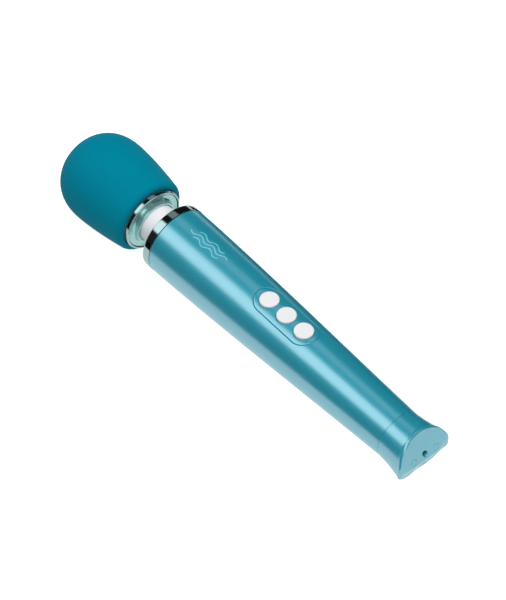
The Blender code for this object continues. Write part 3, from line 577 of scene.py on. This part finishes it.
def fillSkin(bm, loops, spacing, place, extra=()):
    # Fills the first loop, less the others, with small triangles. A loop is a list of (vert, (u, v)).
    shapes = [[point for _, point in loop] for loop in loops]
    outer, holes = shapes[0], shapes[1:]
    flat = [point for shape in shapes for point in shape]
    owners = [vert for loop in loops for vert, _ in loop]
    edges = []
    for shape in shapes:
        first = len(edges)
        edges += [(first + i, first + (i + 1) % len(shape)) for i in range(len(shape))]

    def gap(point, others):
        return min((point[0] - x) ** 2 + (point[1] - y) ** 2 for x, y in others)

    def inSkin(point):
        return within(point, outer) and not any(within(point, hole) for hole in holes)

    inner = [point for point in extra if gap(point, flat) > (spacing * 0.35) ** 2 and inSkin(point)]
    (lowU, highU), (lowV, highV) = ((min(axis), max(axis)) for axis in zip(*outer))
    rowStep = spacing * 0.866
    for row in range(int((highV - lowV) / rowStep) + 1):
        for column in range(int((highU - lowU) / spacing) + 2):
            point = (lowU + (column + 0.5 * (row % 2)) * spacing, lowV + (row + 0.5) * rowStep)
            if extra and gap(point, extra) < spacing ** 2 / 2:
                continue
            if gap(point, flat) > (spacing * 0.6) ** 2 and inSkin(point):
                inner.append(point)
    coords = [Vector(point) for point in flat + inner]
    verts, _, faces, origins, _, _ = delaunay_2d_cdt(coords, edges, [], 0, 1e-6)
    found = []
    for i, vert in enumerate(verts):
        source = origins[i][0] if origins[i] else len(owners)
        found.append(owners[source] if source < len(owners) else bm.verts.new(place(tuple(vert))))
    for face in faces:
        if inSkin(sum((verts[i] for i in face), Vector((0, 0))) / 3):
            bm.faces.new([found[i] for i in face])


def rollEdge(bm, path, surface, size, sign, steps=4):
    # Rings that roll over an edge, sign 1 round a hole and -1 round a plate, from the surface inwards
    rings = []
    for angle in spaced(0, math.pi / 2, steps):
        offset = sign * size * (1 - math.sin(angle))
        depth = size * (1 - math.cos(angle))
        rings.append([(bm.verts.new(surface(point, depth)), point) for point in path(offset)])
    for ringA, ringB in zip(rings, rings[1:]):
        bridge(bm, vertsOf(ringA), vertsOf(ringB))
    return rings


def circlePath(centreU, centreV, radius, steps):
    def path(offset):
        reach = radius + offset
        return [(centreU + reach * math.cos(2 * math.pi * i / steps),
                 centreV + reach * math.sin(2 * math.pi * i / steps)) for i in range(steps)]
    return path


# handle: sleeve, button plate and collar

sleeve = {
    "lowZ": 19.53, "topZ": 175.35,          # the sleeve's two ends
    "curveLowZ": 19.5, "curveTopZ": 175.5,  # where its taper starts and stops
    "waistR": 12.9, "topR": 18.3, "waistSlope": 0.035, "topSlope": 0.012,
    "wall": 1.7, "edgeRound": 0.18,
    "steps": 180, "rows": (18, 24, 18),
    # the patch round the button window, which is skinned with small triangles
    "patchSpread": 19, "patchLowZ": 73.0, "patchTopZ": 120.0, "patchFlatR": 15.4,
    "patchSpacing": (0.85, 2.0),
}

window = {
    "middleZ": 96.5, "pitch": 12.1, "halfWidth": 7.55, "gap": 0.09, "edgeRound": 0.32,
    "plateWall": 1.8, "holeR": 5.1, "holeRound": 0.3, "holeSteps": 72,
    "arcSteps": 26, "straightSteps": 28, "skinSpacing": (0.7, 1.2),
}


def sleeveRadius(z):
    length = sleeve["curveTopZ"] - sleeve["curveLowZ"]
    t = min(max((z - sleeve["curveLowZ"]) / length, 0.0), 1.0)
    rise = (3 - 2 * t) * t * t * (sleeve["topR"] - sleeve["waistR"])
    start = t * (1 - t) ** 2 * length * sleeve["waistSlope"]
    end = t * t * (t - 1) * length * sleeve["topSlope"]
    return sleeve["waistR"] + rise + start + end


def sleeveFace(inset):
    # (y, z) on the handle to a point on its surface, pushed in by inset and a depth
    def surface(point, depth):
        y, z = point
        radius = sleeveRadius(z) - inset
        return (math.sqrt(radius * radius - y * y) - depth, y, z)
    return surface


def stadiumPath(halfWidth):
    # The long round-ended outline of the button window
    def path(offset):
        radius, reach, middle = halfWidth + offset, window["pitch"], window["middleZ"]
        points = []
        for side in (1, -1):
            for i in range(window["arcSteps"]):
                angle = math.pi * i / window["arcSteps"]
                points.append((side * radius * math.cos(angle),
                               middle + side * (reach + radius * math.sin(angle))))
            for i in range(window["straightSteps"]):
                share = i / window["straightSteps"]
                points.append((-side * radius, middle + side * (reach - 2 * reach * share)))
        return points
    return path


def makeSleeve():
    bm = bmesh.new()
    low, top, wall = sleeve["lowZ"], sleeve["topZ"], sleeve["wall"]
    patchLow, patchTop = sleeve["patchLowZ"], sleeve["patchTopZ"]
    lowRows, patchRows, topRows = sleeve["rows"]
    heights = spaced(low, patchLow, lowRows)[1:] + spaced(patchLow, patchTop, patchRows)[1:]
    heights += spaced(patchTop, top, topRows)[1:-1]
    corners = [(sleeveRadius(low), low, sleeve["edgeRound"])]
    corners += [(sleeveRadius(z), z) for z in heights]
    corners += [(sleeveRadius(top), top, sleeve["edgeRound"]), (sleeveRadius(top) - wall, top)]
    corners += [(sleeveRadius(z) - wall, z) for z in reversed(heights)]
    corners += [(sleeveRadius(low) - wall, low)]
    outline = roundCorners(corners)
    steps, half = sleeve["steps"], sleeve["patchSpread"]
    rings = [ringAt(bm, r, z, steps) for r, z in outline]

    def windowRows(outside):
        # The rings that the window's patch reaches over, on the sleeve's outside or inside
        return [i for i, (r, z) in enumerate(outline) if patchLow - 1e-4 <= z <= patchTop + 1e-4
                and (r > sleeveRadius(z) - wall / 2) == outside]

    patches = [windowRows(True), windowRows(False)]
    gone = set(range(steps - half, steps)) | set(range(half))
    skipped = {row for rows in patches for row in rows[:-1]}
    for row in range(len(rings)):
        following = rings[(row + 1) % len(rings)]
        for i in range(steps):
            if row not in skipped or i not in gone:
                j = (i + 1) % steps
                bm.faces.new((rings[row][i], rings[row][j], following[j], following[i]))

    # skins the patch outside and inside, round the window
    flatR = sleeve["patchFlatR"]
    path = stadiumPath(window["halfWidth"] + window["gap"])
    edges = []
    for rows, inset, spacing in zip(patches, (0.0, wall), sleeve["patchSpacing"]):
        columns = range(-half, half + 1)
        between = rows[1:-1]
        loop = [(rows[0], i) for i in columns] + [(row, half) for row in between]
        loop += [(rows[-1], i) for i in reversed(columns)] + [(row, -half) for row in reversed(between)]
        border = [(rings[row][i], (math.radians(i * 360 / steps) * flatR, outline[row][1]))
                  for row, i in loop]
        surface = sleeveFace(inset)
        if inset:
            rolled = [[(bm.verts.new(surface(point, 0.0)), point) for point in path(0.0)]]
        else:
            rolled = rollEdge(bm, path, surface, window["edgeRound"], 1)
        hole = [(vert, (math.atan2(vert.co.y, vert.co.x) * flatR, point[1]))
                for vert, point in rolled[0]]

        def place(point, inset=inset):
            turn, radius = point[0] / flatR, sleeveRadius(point[1]) - inset
            return (radius * math.cos(turn), radius * math.sin(turn), point[1])

        fillSkin(bm, [border, hole], spacing, place)
        edges.append(vertsOf(rolled[-1]))
    bridge(bm, *edges)
    addPiece("handleSleeve", bm, "pearl_paint", "handle", ["handle_tube"])


def cutThrough(bm, path, surface, size, sign, under):
    # An edge rolled over from the top skin and carried down to the under skin; returns both loops
    rolled = rollEdge(bm, path, surface, size, sign)
    below = [(bm.verts.new(under(point)), point) for point in path(0.0)]
    bridge(bm, vertsOf(rolled[-1]), vertsOf(below))
    return rolled[0], below


def makeButtonPlate():
    bm = bmesh.new()
    outer, inner = sleeveFace(0.0), sleeveFace(window["plateWall"])

    def under(point):
        return inner(point, 0.0)

    loops = [cutThrough(bm, stadiumPath(window["halfWidth"]), outer, window["edgeRound"], -1, under)]
    for step in (-1, 0, 1):
        ring = circlePath(0.0, window["middleZ"] + step * window["pitch"], window["holeR"],
                          window["holeSteps"])
        loops.append(cutThrough(bm, ring, outer, window["holeRound"], 1, under))
    tops, bottoms = zip(*loops)
    fine, coarse = window["skinSpacing"]
    fillSkin(bm, tops, fine, lambda point: outer(point, 0.0))
    fillSkin(bm, bottoms, coarse, under)
    addPiece("buttonPlate", bm, "pearl_paint", "handle", ["button_panel"])


collar = {
    "lowZ": 175.65, "topZ": 180.3, "outerR": 18.4, "innerR": 14.6, "bulge": 0.02, "taper": 0.05,
    "topRound": 0.8, "lowRound": 0.25, "innerLowRound": 0.2, "innerTopRound": 0.4, "steps": 180,
}


def makeCollar():
    bm = bmesh.new()
    low, top, outer, inner = (collar[key] for key in ("lowZ", "topZ", "outerR", "innerR"))
    corners = [(inner, low, collar["innerLowRound"]), (outer, low, collar["lowRound"]),
               (outer + collar["bulge"], (low + top) / 2),
               (outer - collar["taper"], top, collar["topRound"]), (inner, top, collar["innerTopRound"])]
    turnOutline(bm, roundCorners(corners), collar["steps"])
    addPiece("collarBand", bm, "chrome", "handle", ["collar_ring"])


printLines = {
    # three plain waves printed along the grip
    "lowZ": 139.0, "length": 26.0, "wave": 8.6, "swing": 0.9, "spread": 2.3,
    "width": 0.5, "proud": 0.03, "thick": 0.05, "steps": 90, "trim": (4.0, 0.0, 4.0),
    "colour": (0.16, 0.62, 0.68), "shade": (0.12, 0.55, 0.62), "driftSize": 0.002, "roughness": 0.35,
}


def makePrint():
    bm = bmesh.new()
    thick = printLines["thick"]
    for line, trim in zip((-1, 0, 1), printLines["trim"]):
        rings = []
        span = printLines["length"] - 2 * trim
        for share in spaced(0.0, 1.0, printLines["steps"]):
            z = printLines["lowZ"] + trim + span * share
            phase = 2 * math.pi * (z - printLines["lowZ"]) / printLines["wave"]
            y = line * printLines["spread"] + printLines["swing"] * math.sin(phase)
            half = printLines["width"] / 2 * min(1.0, 6 * math.sqrt(share * (1 - share)) + 0.1)
            ring = []
            for side, depth in ((-1, thick), (1, thick), (1, 0.0), (-1, 0.0)):
                radius = sleeveRadius(z) - depth + printLines["proud"]
                turn = (y + side * half) / radius
                ring.append(bm.verts.new((radius * math.cos(turn), radius * math.sin(turn), z)))
            rings.append(ring)
        closeTube(bm, rings)
    ink, tree, shader = newMaterial("paleTealInk", {"Roughness": printLines["roughness"]})
    tree.links.new(driftOf(tree, printLines), shader.inputs["Base Color"])
    piece = addPiece("gripPrint", bm, "pearl_paint", "handle")
    piece.data.materials[0] = ink


makeSleeve()
makeButtonPlate()
makeCollar()
makePrint()
print("handle ready")


# buttons

button = {
    "radius": 4.88, "edgeRound": 0.6, "proud": 0.5, "edgeDrop": 0.15, "dish": 0.1, "dishRound": 1.5,
    "stemR": 2.2, "stemRound": 0.2, "flangeR": 5.7, "flangeLow": -4.5, "flangeTop": -3.5,
    "flangeRound": 0.15, "footX": 9.6, "steps": 72,
}


def makeButtons():
    rim, top, flangeR = button["radius"], button["proud"], button["flangeR"]
    for word, step in (("lower", -1), ("middle", 0), ("upper", 1)):
        z = window["middleZ"] + step * window["pitch"]
        faceX = sleeveRadius(z)
        foot = button["footX"] - faceX
        corners = [(0.0, foot), (button["stemR"], foot, button["stemRound"]),
                   (button["stemR"], button["flangeLow"]),
                   (flangeR, button["flangeLow"], button["flangeRound"]),
                   (flangeR, button["flangeTop"], button["flangeRound"]), (rim, button["flangeTop"]),
                   (rim, top - button["edgeDrop"], button["edgeRound"]),
                   (rim * 0.72, top, button["dishRound"]), (rim * 0.5, top - 0.2 * button["dish"]),
                   (rim * 0.25, top - 0.6 * button["dish"]), (0.0, top - button["dish"])]
        bm = bmesh.new()
        turnOutline(bm, roundCorners(corners, 0.2, 10), button["steps"], closed=False)
        # drawn about its own travel, then turned to point out of the handle
        place = wandMatrix @ Matrix.Translation((faceX, 0, z)) @ Matrix.Rotation(math.pi / 2, 4, "Y")
        node = f"button_{word}"
        addPiece(f"button{word.capitalize()}Cap", bm, "white_plastic", node, [node], place)


makeButtons()
print("buttons ready")


# tail cap

tail = {
    "flare": 3.3, "flarePower": 1.6, "flareTopZ": 16.0, "seamZ": 19.45, "seamRound": 0.18,
    "faceAngle": 24.5, "ridgeSoft": 0.45, "blend": 0.3,
    "bowR": 90.0, "bowAngle": 8.8, "cornerR": 2.6, "cornerEnd": 80.0,
    "endBlend": (7.5, 14.0, 1.1),      # a softer blend at the ridge's ends: from y, to y, size
    "edgeRound": 0.5, "mostRound": 0.8,
    "hornRound": (62.0, 16.0, 0.35),   # more rounding near an angle: angle, spread, size
    "steps": 160, "rows": 16, "arcSteps": 5, "slopeStep": 0.1, "lowestZ": -2.0,
    "ridgeX": (-1.0, -0.5, -0.22, 0.0, 0.22, 0.5, 1.0), "ridgeY": (-15.0, 15.0, 50),
    "skinSpacing": (0.8, 2.0),
    "spigotR": 10.9, "spigotWall": 1.2, "spigotTopZ": 27.5, "grooveZ": (23.2, 24.8), "grooveR": 10.2,
    "floorZ": 10.5, "holeSteps": 40, "portX": 3.0, "portR": 1.5, "portRound": 0.2,
    "screwX": 2.4, "screwY": 7.0, "screwHoleR": 1.68, "screwHoleRound": 0.05, "screwSeatZ": 9.5,
    "screwBoreR": 1.0, "coverR": 1.62, "coverSink": 0.02, "coverRound": 0.04, "coverTopZ": 4.6,
}


def flareRadius(z):
    share = max((sleeve["curveLowZ"] - z) / sleeve["curveLowZ"], 0.0)
    return sleeve["waistR"] + tail["flare"] * share ** tail["flarePower"]


def ridgeHeight(y):
    bow, big, small = math.radians(tail["bowAngle"]), tail["bowR"], tail["cornerR"]
    y = abs(y)
    if y <= big * math.sin(bow):
        return big - math.sqrt(big * big - y * y)
    centreY = (big - small) * math.sin(bow)
    centreZ = big - (big - small) * math.cos(bow)
    steepest = math.radians(tail["cornerEnd"])
    limit = math.sin(steepest)
    out = min((y - centreY) / small, limit)
    past = max(y - centreY - small * limit, 0.0)
    return centreZ - small * math.sqrt(1 - out * out) + past * math.tan(steepest)


def tailFace(x, y):
    # Height of the tail's end over (x, y): two slanted faces that meet in a soft, bowed ridge
    slant = math.tan(math.radians(tail["faceAngle"])) * math.hypot(x, tail["ridgeSoft"])
    ridge = ridgeHeight(y)
    start, end, most = tail["endBlend"]
    share = min(max((abs(y) - start) / (end - start), 0.0), 1.0)
    blend = tail["blend"] + (most - tail["blend"]) * share * share * (3 - 2 * share)
    return 0.5 * (slant + ridge + math.hypot(slant - ridge, blend))


def tailEdge(angle):
    # Where the flare meets the end at this angle, as (r, z)
    low, high = tail["lowestZ"], tail["flareTopZ"]
    for _ in range(40):
        z = (low + high) / 2
        r = flareRadius(z)
        if z > tailFace(r * math.cos(angle), r * math.sin(angle)):
            high = z
        else:
            low = z
    return Vector((flareRadius(high), high))


def makeTailCap():
    bm = bmesh.new()
    steps = tail["steps"]
    innerR = tail["spigotR"] - tail["spigotWall"]
    grooveLow, grooveTop = tail["grooveZ"]
    seam = tail["seamZ"]
    corners = [(innerR, tail["floorZ"]), (innerR, tail["spigotTopZ"], 0.2),
               (tail["spigotR"], tail["spigotTopZ"], 0.4), (tail["spigotR"], grooveTop),
               (tail["grooveR"], grooveTop), (tail["grooveR"], grooveLow), (tail["spigotR"], grooveLow),
               (tail["spigotR"], seam), (flareRadius(seam), seam, tail["seamRound"]),
               (flareRadius(tail["flareTopZ"]), tail["flareTopZ"])]
    outline = roundCorners(corners)[:-1]
    horn, spread, more = tail["hornRound"]
    slope = tail["slopeStep"]
    columns = []
    for i in range(steps):
        angle = 2 * math.pi * i / steps
        corner = tailEdge(angle)
        up = Vector((flareRadius(corner.y + slope) - corner.x, slope)).normalized()
        inner = corner.x - slope
        rise = tailFace(inner * math.cos(angle), inner * math.sin(angle)) - corner.y
        inward = Vector((-slope, rise)).normalized()
        half = up.angle(inward) / 2
        off = (math.degrees(math.acos(abs(math.cos(angle)))) - horn) / spread
        reach = min(tail["edgeRound"] / math.tan(half), tail["mostRound"]) + more * math.exp(-off * off)
        start, end = corner + up * reach, corner + inward * reach
        radius = reach * math.tan(half)
        middle = corner + (up + inward).normalized() * radius / math.sin(half)
        column = list(outline)
        for z in spaced(outline[-1].y, start.y, tail["rows"])[1:-1]:
            column.append(Vector((flareRadius(z), z)))
        column += [middle + (start - middle).slerp(end - middle, share)
                   for share in spaced(0.0, 1.0, tail["arcSteps"])]
        columns.append([bm.verts.new((p.x * math.cos(angle), p.x * math.sin(angle), p.y))
                        for p in column])
    for i in range(steps):
        following = columns[(i + 1) % steps]
        for row in range(len(following) - 1):
            bm.faces.new((columns[i][row], following[row], following[row + 1], columns[i][row + 1]))

    # the end, with the charging port and two screw holes
    def surface(point, depth):
        return (point[0], point[1], tailFace(*point) + depth)

    flat = tail["floorZ"]
    ends = [[(column[-1], tuple(column[-1].co.xy)) for column in columns]]
    floors = [[(column[0], tuple(column[0].co.xy)) for column in columns]]
    port = circlePath(tail["portX"], 0.0, tail["portR"], tail["holeSteps"])
    mouth, roof = cutThrough(bm, port, surface, tail["portRound"], 1, lambda point: (*point, flat))
    ends.append(mouth)
    floors.append(roof)
    for y in (-tail["screwY"], tail["screwY"]):
        hole = circlePath(tail["screwX"], y, tail["screwHoleR"], tail["holeSteps"])
        mouth, seat = cutThrough(bm, hole, surface, tail["screwHoleRound"], 1,
                                 lambda point: (*point, tail["screwSeatZ"]))
        bore = circlePath(tail["screwX"], y, tail["screwBoreR"], tail["holeSteps"])(0.0)
        chain = [vertsOf(seat)]
        chain += [[bm.verts.new((*point, z)) for point in bore] for z in (tail["screwSeatZ"], flat)]
        for ringA, ringB in zip(chain, chain[1:]):
            bridge(bm, ringA, ringB)
        ends.append(mouth)
        floors.append(list(zip(chain[-1], bore)))
    ridgeRows = [(x, y) for x in tail["ridgeX"] for y in spaced(*tail["ridgeY"])]
    fine, coarse = tail["skinSpacing"]
    fillSkin(bm, ends, fine, lambda point: surface(point, 0.0), ridgeRows)
    fillSkin(bm, floors, coarse, lambda point: (*point, flat))
    piece = addPiece("tailFlare", bm, "pearl_paint", "handle", ["tail_cap"])
    for vert in piece.data.vertices:  # the heel that it rests on
        vert.co.z = max(vert.co.z, 0.0)


def makeScrewCovers():
    full, soft = tail["coverR"], tail["coverRound"]
    for word, side in (("Left", -1), ("Right", 1)):
        y = side * tail["screwY"]
        bm = bmesh.new()
        rings = []
        for reach, depth in ((full * 0.35, 0.0), (full * 0.7, 0.0), (full - soft, 0.0),
                             (full - soft * 0.3, soft * 0.3), (full, soft)):
            ring = circlePath(tail["screwX"], y, reach, tail["holeSteps"])(0.0)
            rings.append([bm.verts.new((*point, tailFace(*point) + tail["coverSink"] + depth))
                          for point in ring])
        rings.append([bm.verts.new((*point, tail["coverTopZ"])) for point in ring])
        closeTube(bm, rings)
        addPiece(f"screwCover{word}", bm, "pearl_paint", "handle", [f"screw_cover_{word.lower()}"])


makeTailCap()
makeScrewCovers()
print("tail ready")


# neck

neck = {
    "bootR": 10.35, "bootWall": 1.5, "lowZ": 171.8, "middleZ": 186.0, "topZ": 194.3,
    "steps": 120, "rows": (28, 20),
    "lowBend": (177.0, 186.0), "topBend": (186.0, 193.0),
    "coilR": 7.6, "wireR": 0.7, "coilLowZ": 170.0, "coilTopZ": 196.0, "turns": 6,
    "turnSteps": 28, "wireSteps": 10,
}

socket = {
    "lowZ": 166.0, "topZ": 179.9, "boreR": 4.0, "outerR": 15.9, "shoulderZ": 175.3, "lipR": 14.3,
    "wellR": 10.65, "wellFloor": 5.5, "seatR": 8.6, "seatFloor": 3.0,
    "lowRound": 0.3, "lipRound": 0.4, "wellRound": 0.5, "steps": 120,
}


def bendPiece(piece):
    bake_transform(piece)


def makeBoot():
    # Two lengths of one soft sleeve that meet in the middle
    outer, inner = neck["bootR"], neck["bootR"] - neck["bootWall"]
    middle = neck["middleZ"]
    lowRows, topRows = neck["rows"]
    lower = [(inner, neck["lowZ"])] + [(outer, z) for z in spaced(neck["lowZ"], middle, lowRows)]
    lower += [(inner, z) for z in reversed(spaced(neck["lowZ"], middle, lowRows // 2)[1:])]
    upper = [(outer, z) for z in spaced(middle, neck["topZ"], topRows)]
    upper += [(inner, z) for z in reversed(spaced(middle, neck["topZ"], topRows // 2))]
    for name, outline, half, stands in (("neckBootLower", lower, "low", ["neck_boot"]),
                                        ("neckBootUpper", upper, "top", [])):
        bm = bmesh.new()
        turnOutline(bm, outline, neck["steps"])
        bendPiece(addPiece(name, bm, "white_silicone", None, stands))


def makeSpring():
    low, top, turns = neck["coilLowZ"], neck["coilTopZ"], neck["turns"]
    middle = neck["middleZ"]
    for name, start, end, half, stands in (("neckCoilLower", low, middle, "low", ["neck_spring"]),
                                           ("neckCoilUpper", middle, top, "top", [])):
        bm = bmesh.new()
        rings = []
        count = round(turns * neck["turnSteps"] * (end - start) / (top - low))
        for z in spaced(start, end, count):
            angle = 2 * math.pi * turns * (z - low) / (top - low)
            spoke = Vector((math.cos(angle), math.sin(angle), 0))
            ring = []
            for i in range(neck["wireSteps"]):
                swing = 2 * math.pi * i / neck["wireSteps"]
                point = spoke * (neck["coilR"] + neck["wireR"] * math.cos(swing))
                ring.append(bm.verts.new(point + Vector((0, 0, z + neck["wireR"] * math.sin(swing)))))
            rings.append(ring)
        closeTube(bm, rings)
        bendPiece(addPiece(name, bm, "steel", None, stands))


def makeSocket():
    low, top, shoulder = socket["lowZ"], socket["topZ"], socket["shoulderZ"]
    bore, outer, lip, well, seat = (socket[key] for key in ("boreR", "outerR", "lipR", "wellR", "seatR"))
    wellZ, seatZ = low + socket["wellFloor"], low + socket["seatFloor"]
    corners = [(bore, low), (outer, low, socket["lowRound"]), (outer, shoulder), (lip, shoulder),
               (lip, top, socket["lipRound"]), (well, top, socket["wellRound"]), (well, wellZ),
               (seat, wellZ), (seat, seatZ), (bore, seatZ)]
    bm = bmesh.new()
    turnOutline(bm, roundCorners(corners), socket["steps"])
    addPiece("neckSocket", bm, "white_plastic", "handle", ["neck_socket"])


makeBoot()
makeSpring()
makeSocket()
print("neck ready")


# head

head = {
    "lowZ": 193.2, "wideZ": 227.0, "topZ": 250.0, "wideR": 23.4, "lowR": 20.35, "cornerR": 3.2,
    "cornerZ": 198.7, "sidePower": 1.6, "domePower": 2.35, "coverWall": 2.2, "steps": 160,
    "cornerRows": 12, "coverRows": (20, 44), "liningRows": (8, 14),  # side and dome
    "hem": ((17.55, 4.4), (17.15, 4.0)),  # the cover's turned-in edge: radius, and height above lowZ
}

headRing = {
    # corners: radius, height above the head's lowZ, rounding
    "corners": ((15.9, 0.0), (16.65, 0.0, 0.3), (16.9, 0.6, 0.4), (16.9, 2.0, 0.15), (15.9, 2.2)),
}

dish = {
    # corners: radius, height above the head's lowZ, rounding
    "lip": ((10.65, -2.1, 0.2), (12.05, -2.1, 0.35), (12.05, 0.2, 0.5)),
    "bowl": ((12.8, 0.9, 0.4), (14.2, 0.9, 0.5), (15.6, 0.2, 0.3), (15.6, 2.3)),
    "cup": ((14.6, 2.3), (14.6, 18.8), (13.2, 18.8), (13.2, 5.3), (4.0, 5.3)),
    "seat": ((4.0, 3.8), (8.6, 3.8), (8.6, 1.4), (10.65, 1.4)),
}


def headRadius(z, inset=0.0):
    if z >= head["wideZ"]:
        share = min((z - head["wideZ"]) / (head["topZ"] - inset - head["wideZ"]), 1.0)
        return (head["wideR"] - inset) * (1 - share ** head["domePower"]) ** (1 / head["domePower"])
    share = (head["wideZ"] - z) / (head["wideZ"] - head["cornerZ"])
    return head["wideR"] - inset - (head["wideR"] - head["lowR"]) * share ** head["sidePower"]


def headCurve(lowZ, inset, sideSteps, domeSteps):
    points = [(headRadius(z, inset), z) for z in spaced(lowZ, head["wideZ"], sideSteps)]
    for swing in spaced(0.0, math.pi / 2, domeSteps)[1:]:
        z = head["wideZ"] + (head["topZ"] - inset - head["wideZ"]) * math.sin(swing)
        points.append((max(headRadius(z, inset), 0.0), z))
    points[-1] = (0.0, head["topZ"] - inset)
    return points


def makeCover():
    centreR = head["lowR"] - head["cornerR"]
    outline = [(centreR + head["cornerR"] * math.cos(turn),
                head["cornerZ"] + head["cornerR"] * math.sin(turn))
               for turn in spaced(-math.pi / 2, 0.0, head["cornerRows"])]
    outline += headCurve(head["cornerZ"], 0.0, *head["coverRows"])[1:]
    outline += list(reversed(headCurve(head["cornerZ"], head["coverWall"], *head["liningRows"])))
    outline += [(r, head["lowZ"] + rise) for r, rise in head["hem"]]
    bm = bmesh.new()
    turnOutline(bm, outline, head["steps"])
    addPiece("softCover", bm, "teal_silicone", "head", ["head_cap"])


def raised(corners):
    return [(r, head["lowZ"] + rise, *rounding) for r, rise, *rounding in corners]


def makeHeadRing():
    bm = bmesh.new()
    turnOutline(bm, roundCorners(raised(headRing["corners"]), 0.15), head["steps"])
    addPiece("headBand", bm, "chrome", "head", ["head_ring"])


def makeDish():
    # The polished dish under the head, with the lip that holds the neck and the cup for the motor
    corners = raised(dish["lip"] + dish["bowl"] + dish["cup"] + dish["seat"])
    bm = bmesh.new()
    turnOutline(bm, roundCorners(corners, 0.15, 12), head["steps"])
    addPiece("headDish", bm, "tinted_chrome", "head", ["head_base"])


makeCover()
makeHeadRing()
makeDish()
print("head ready")
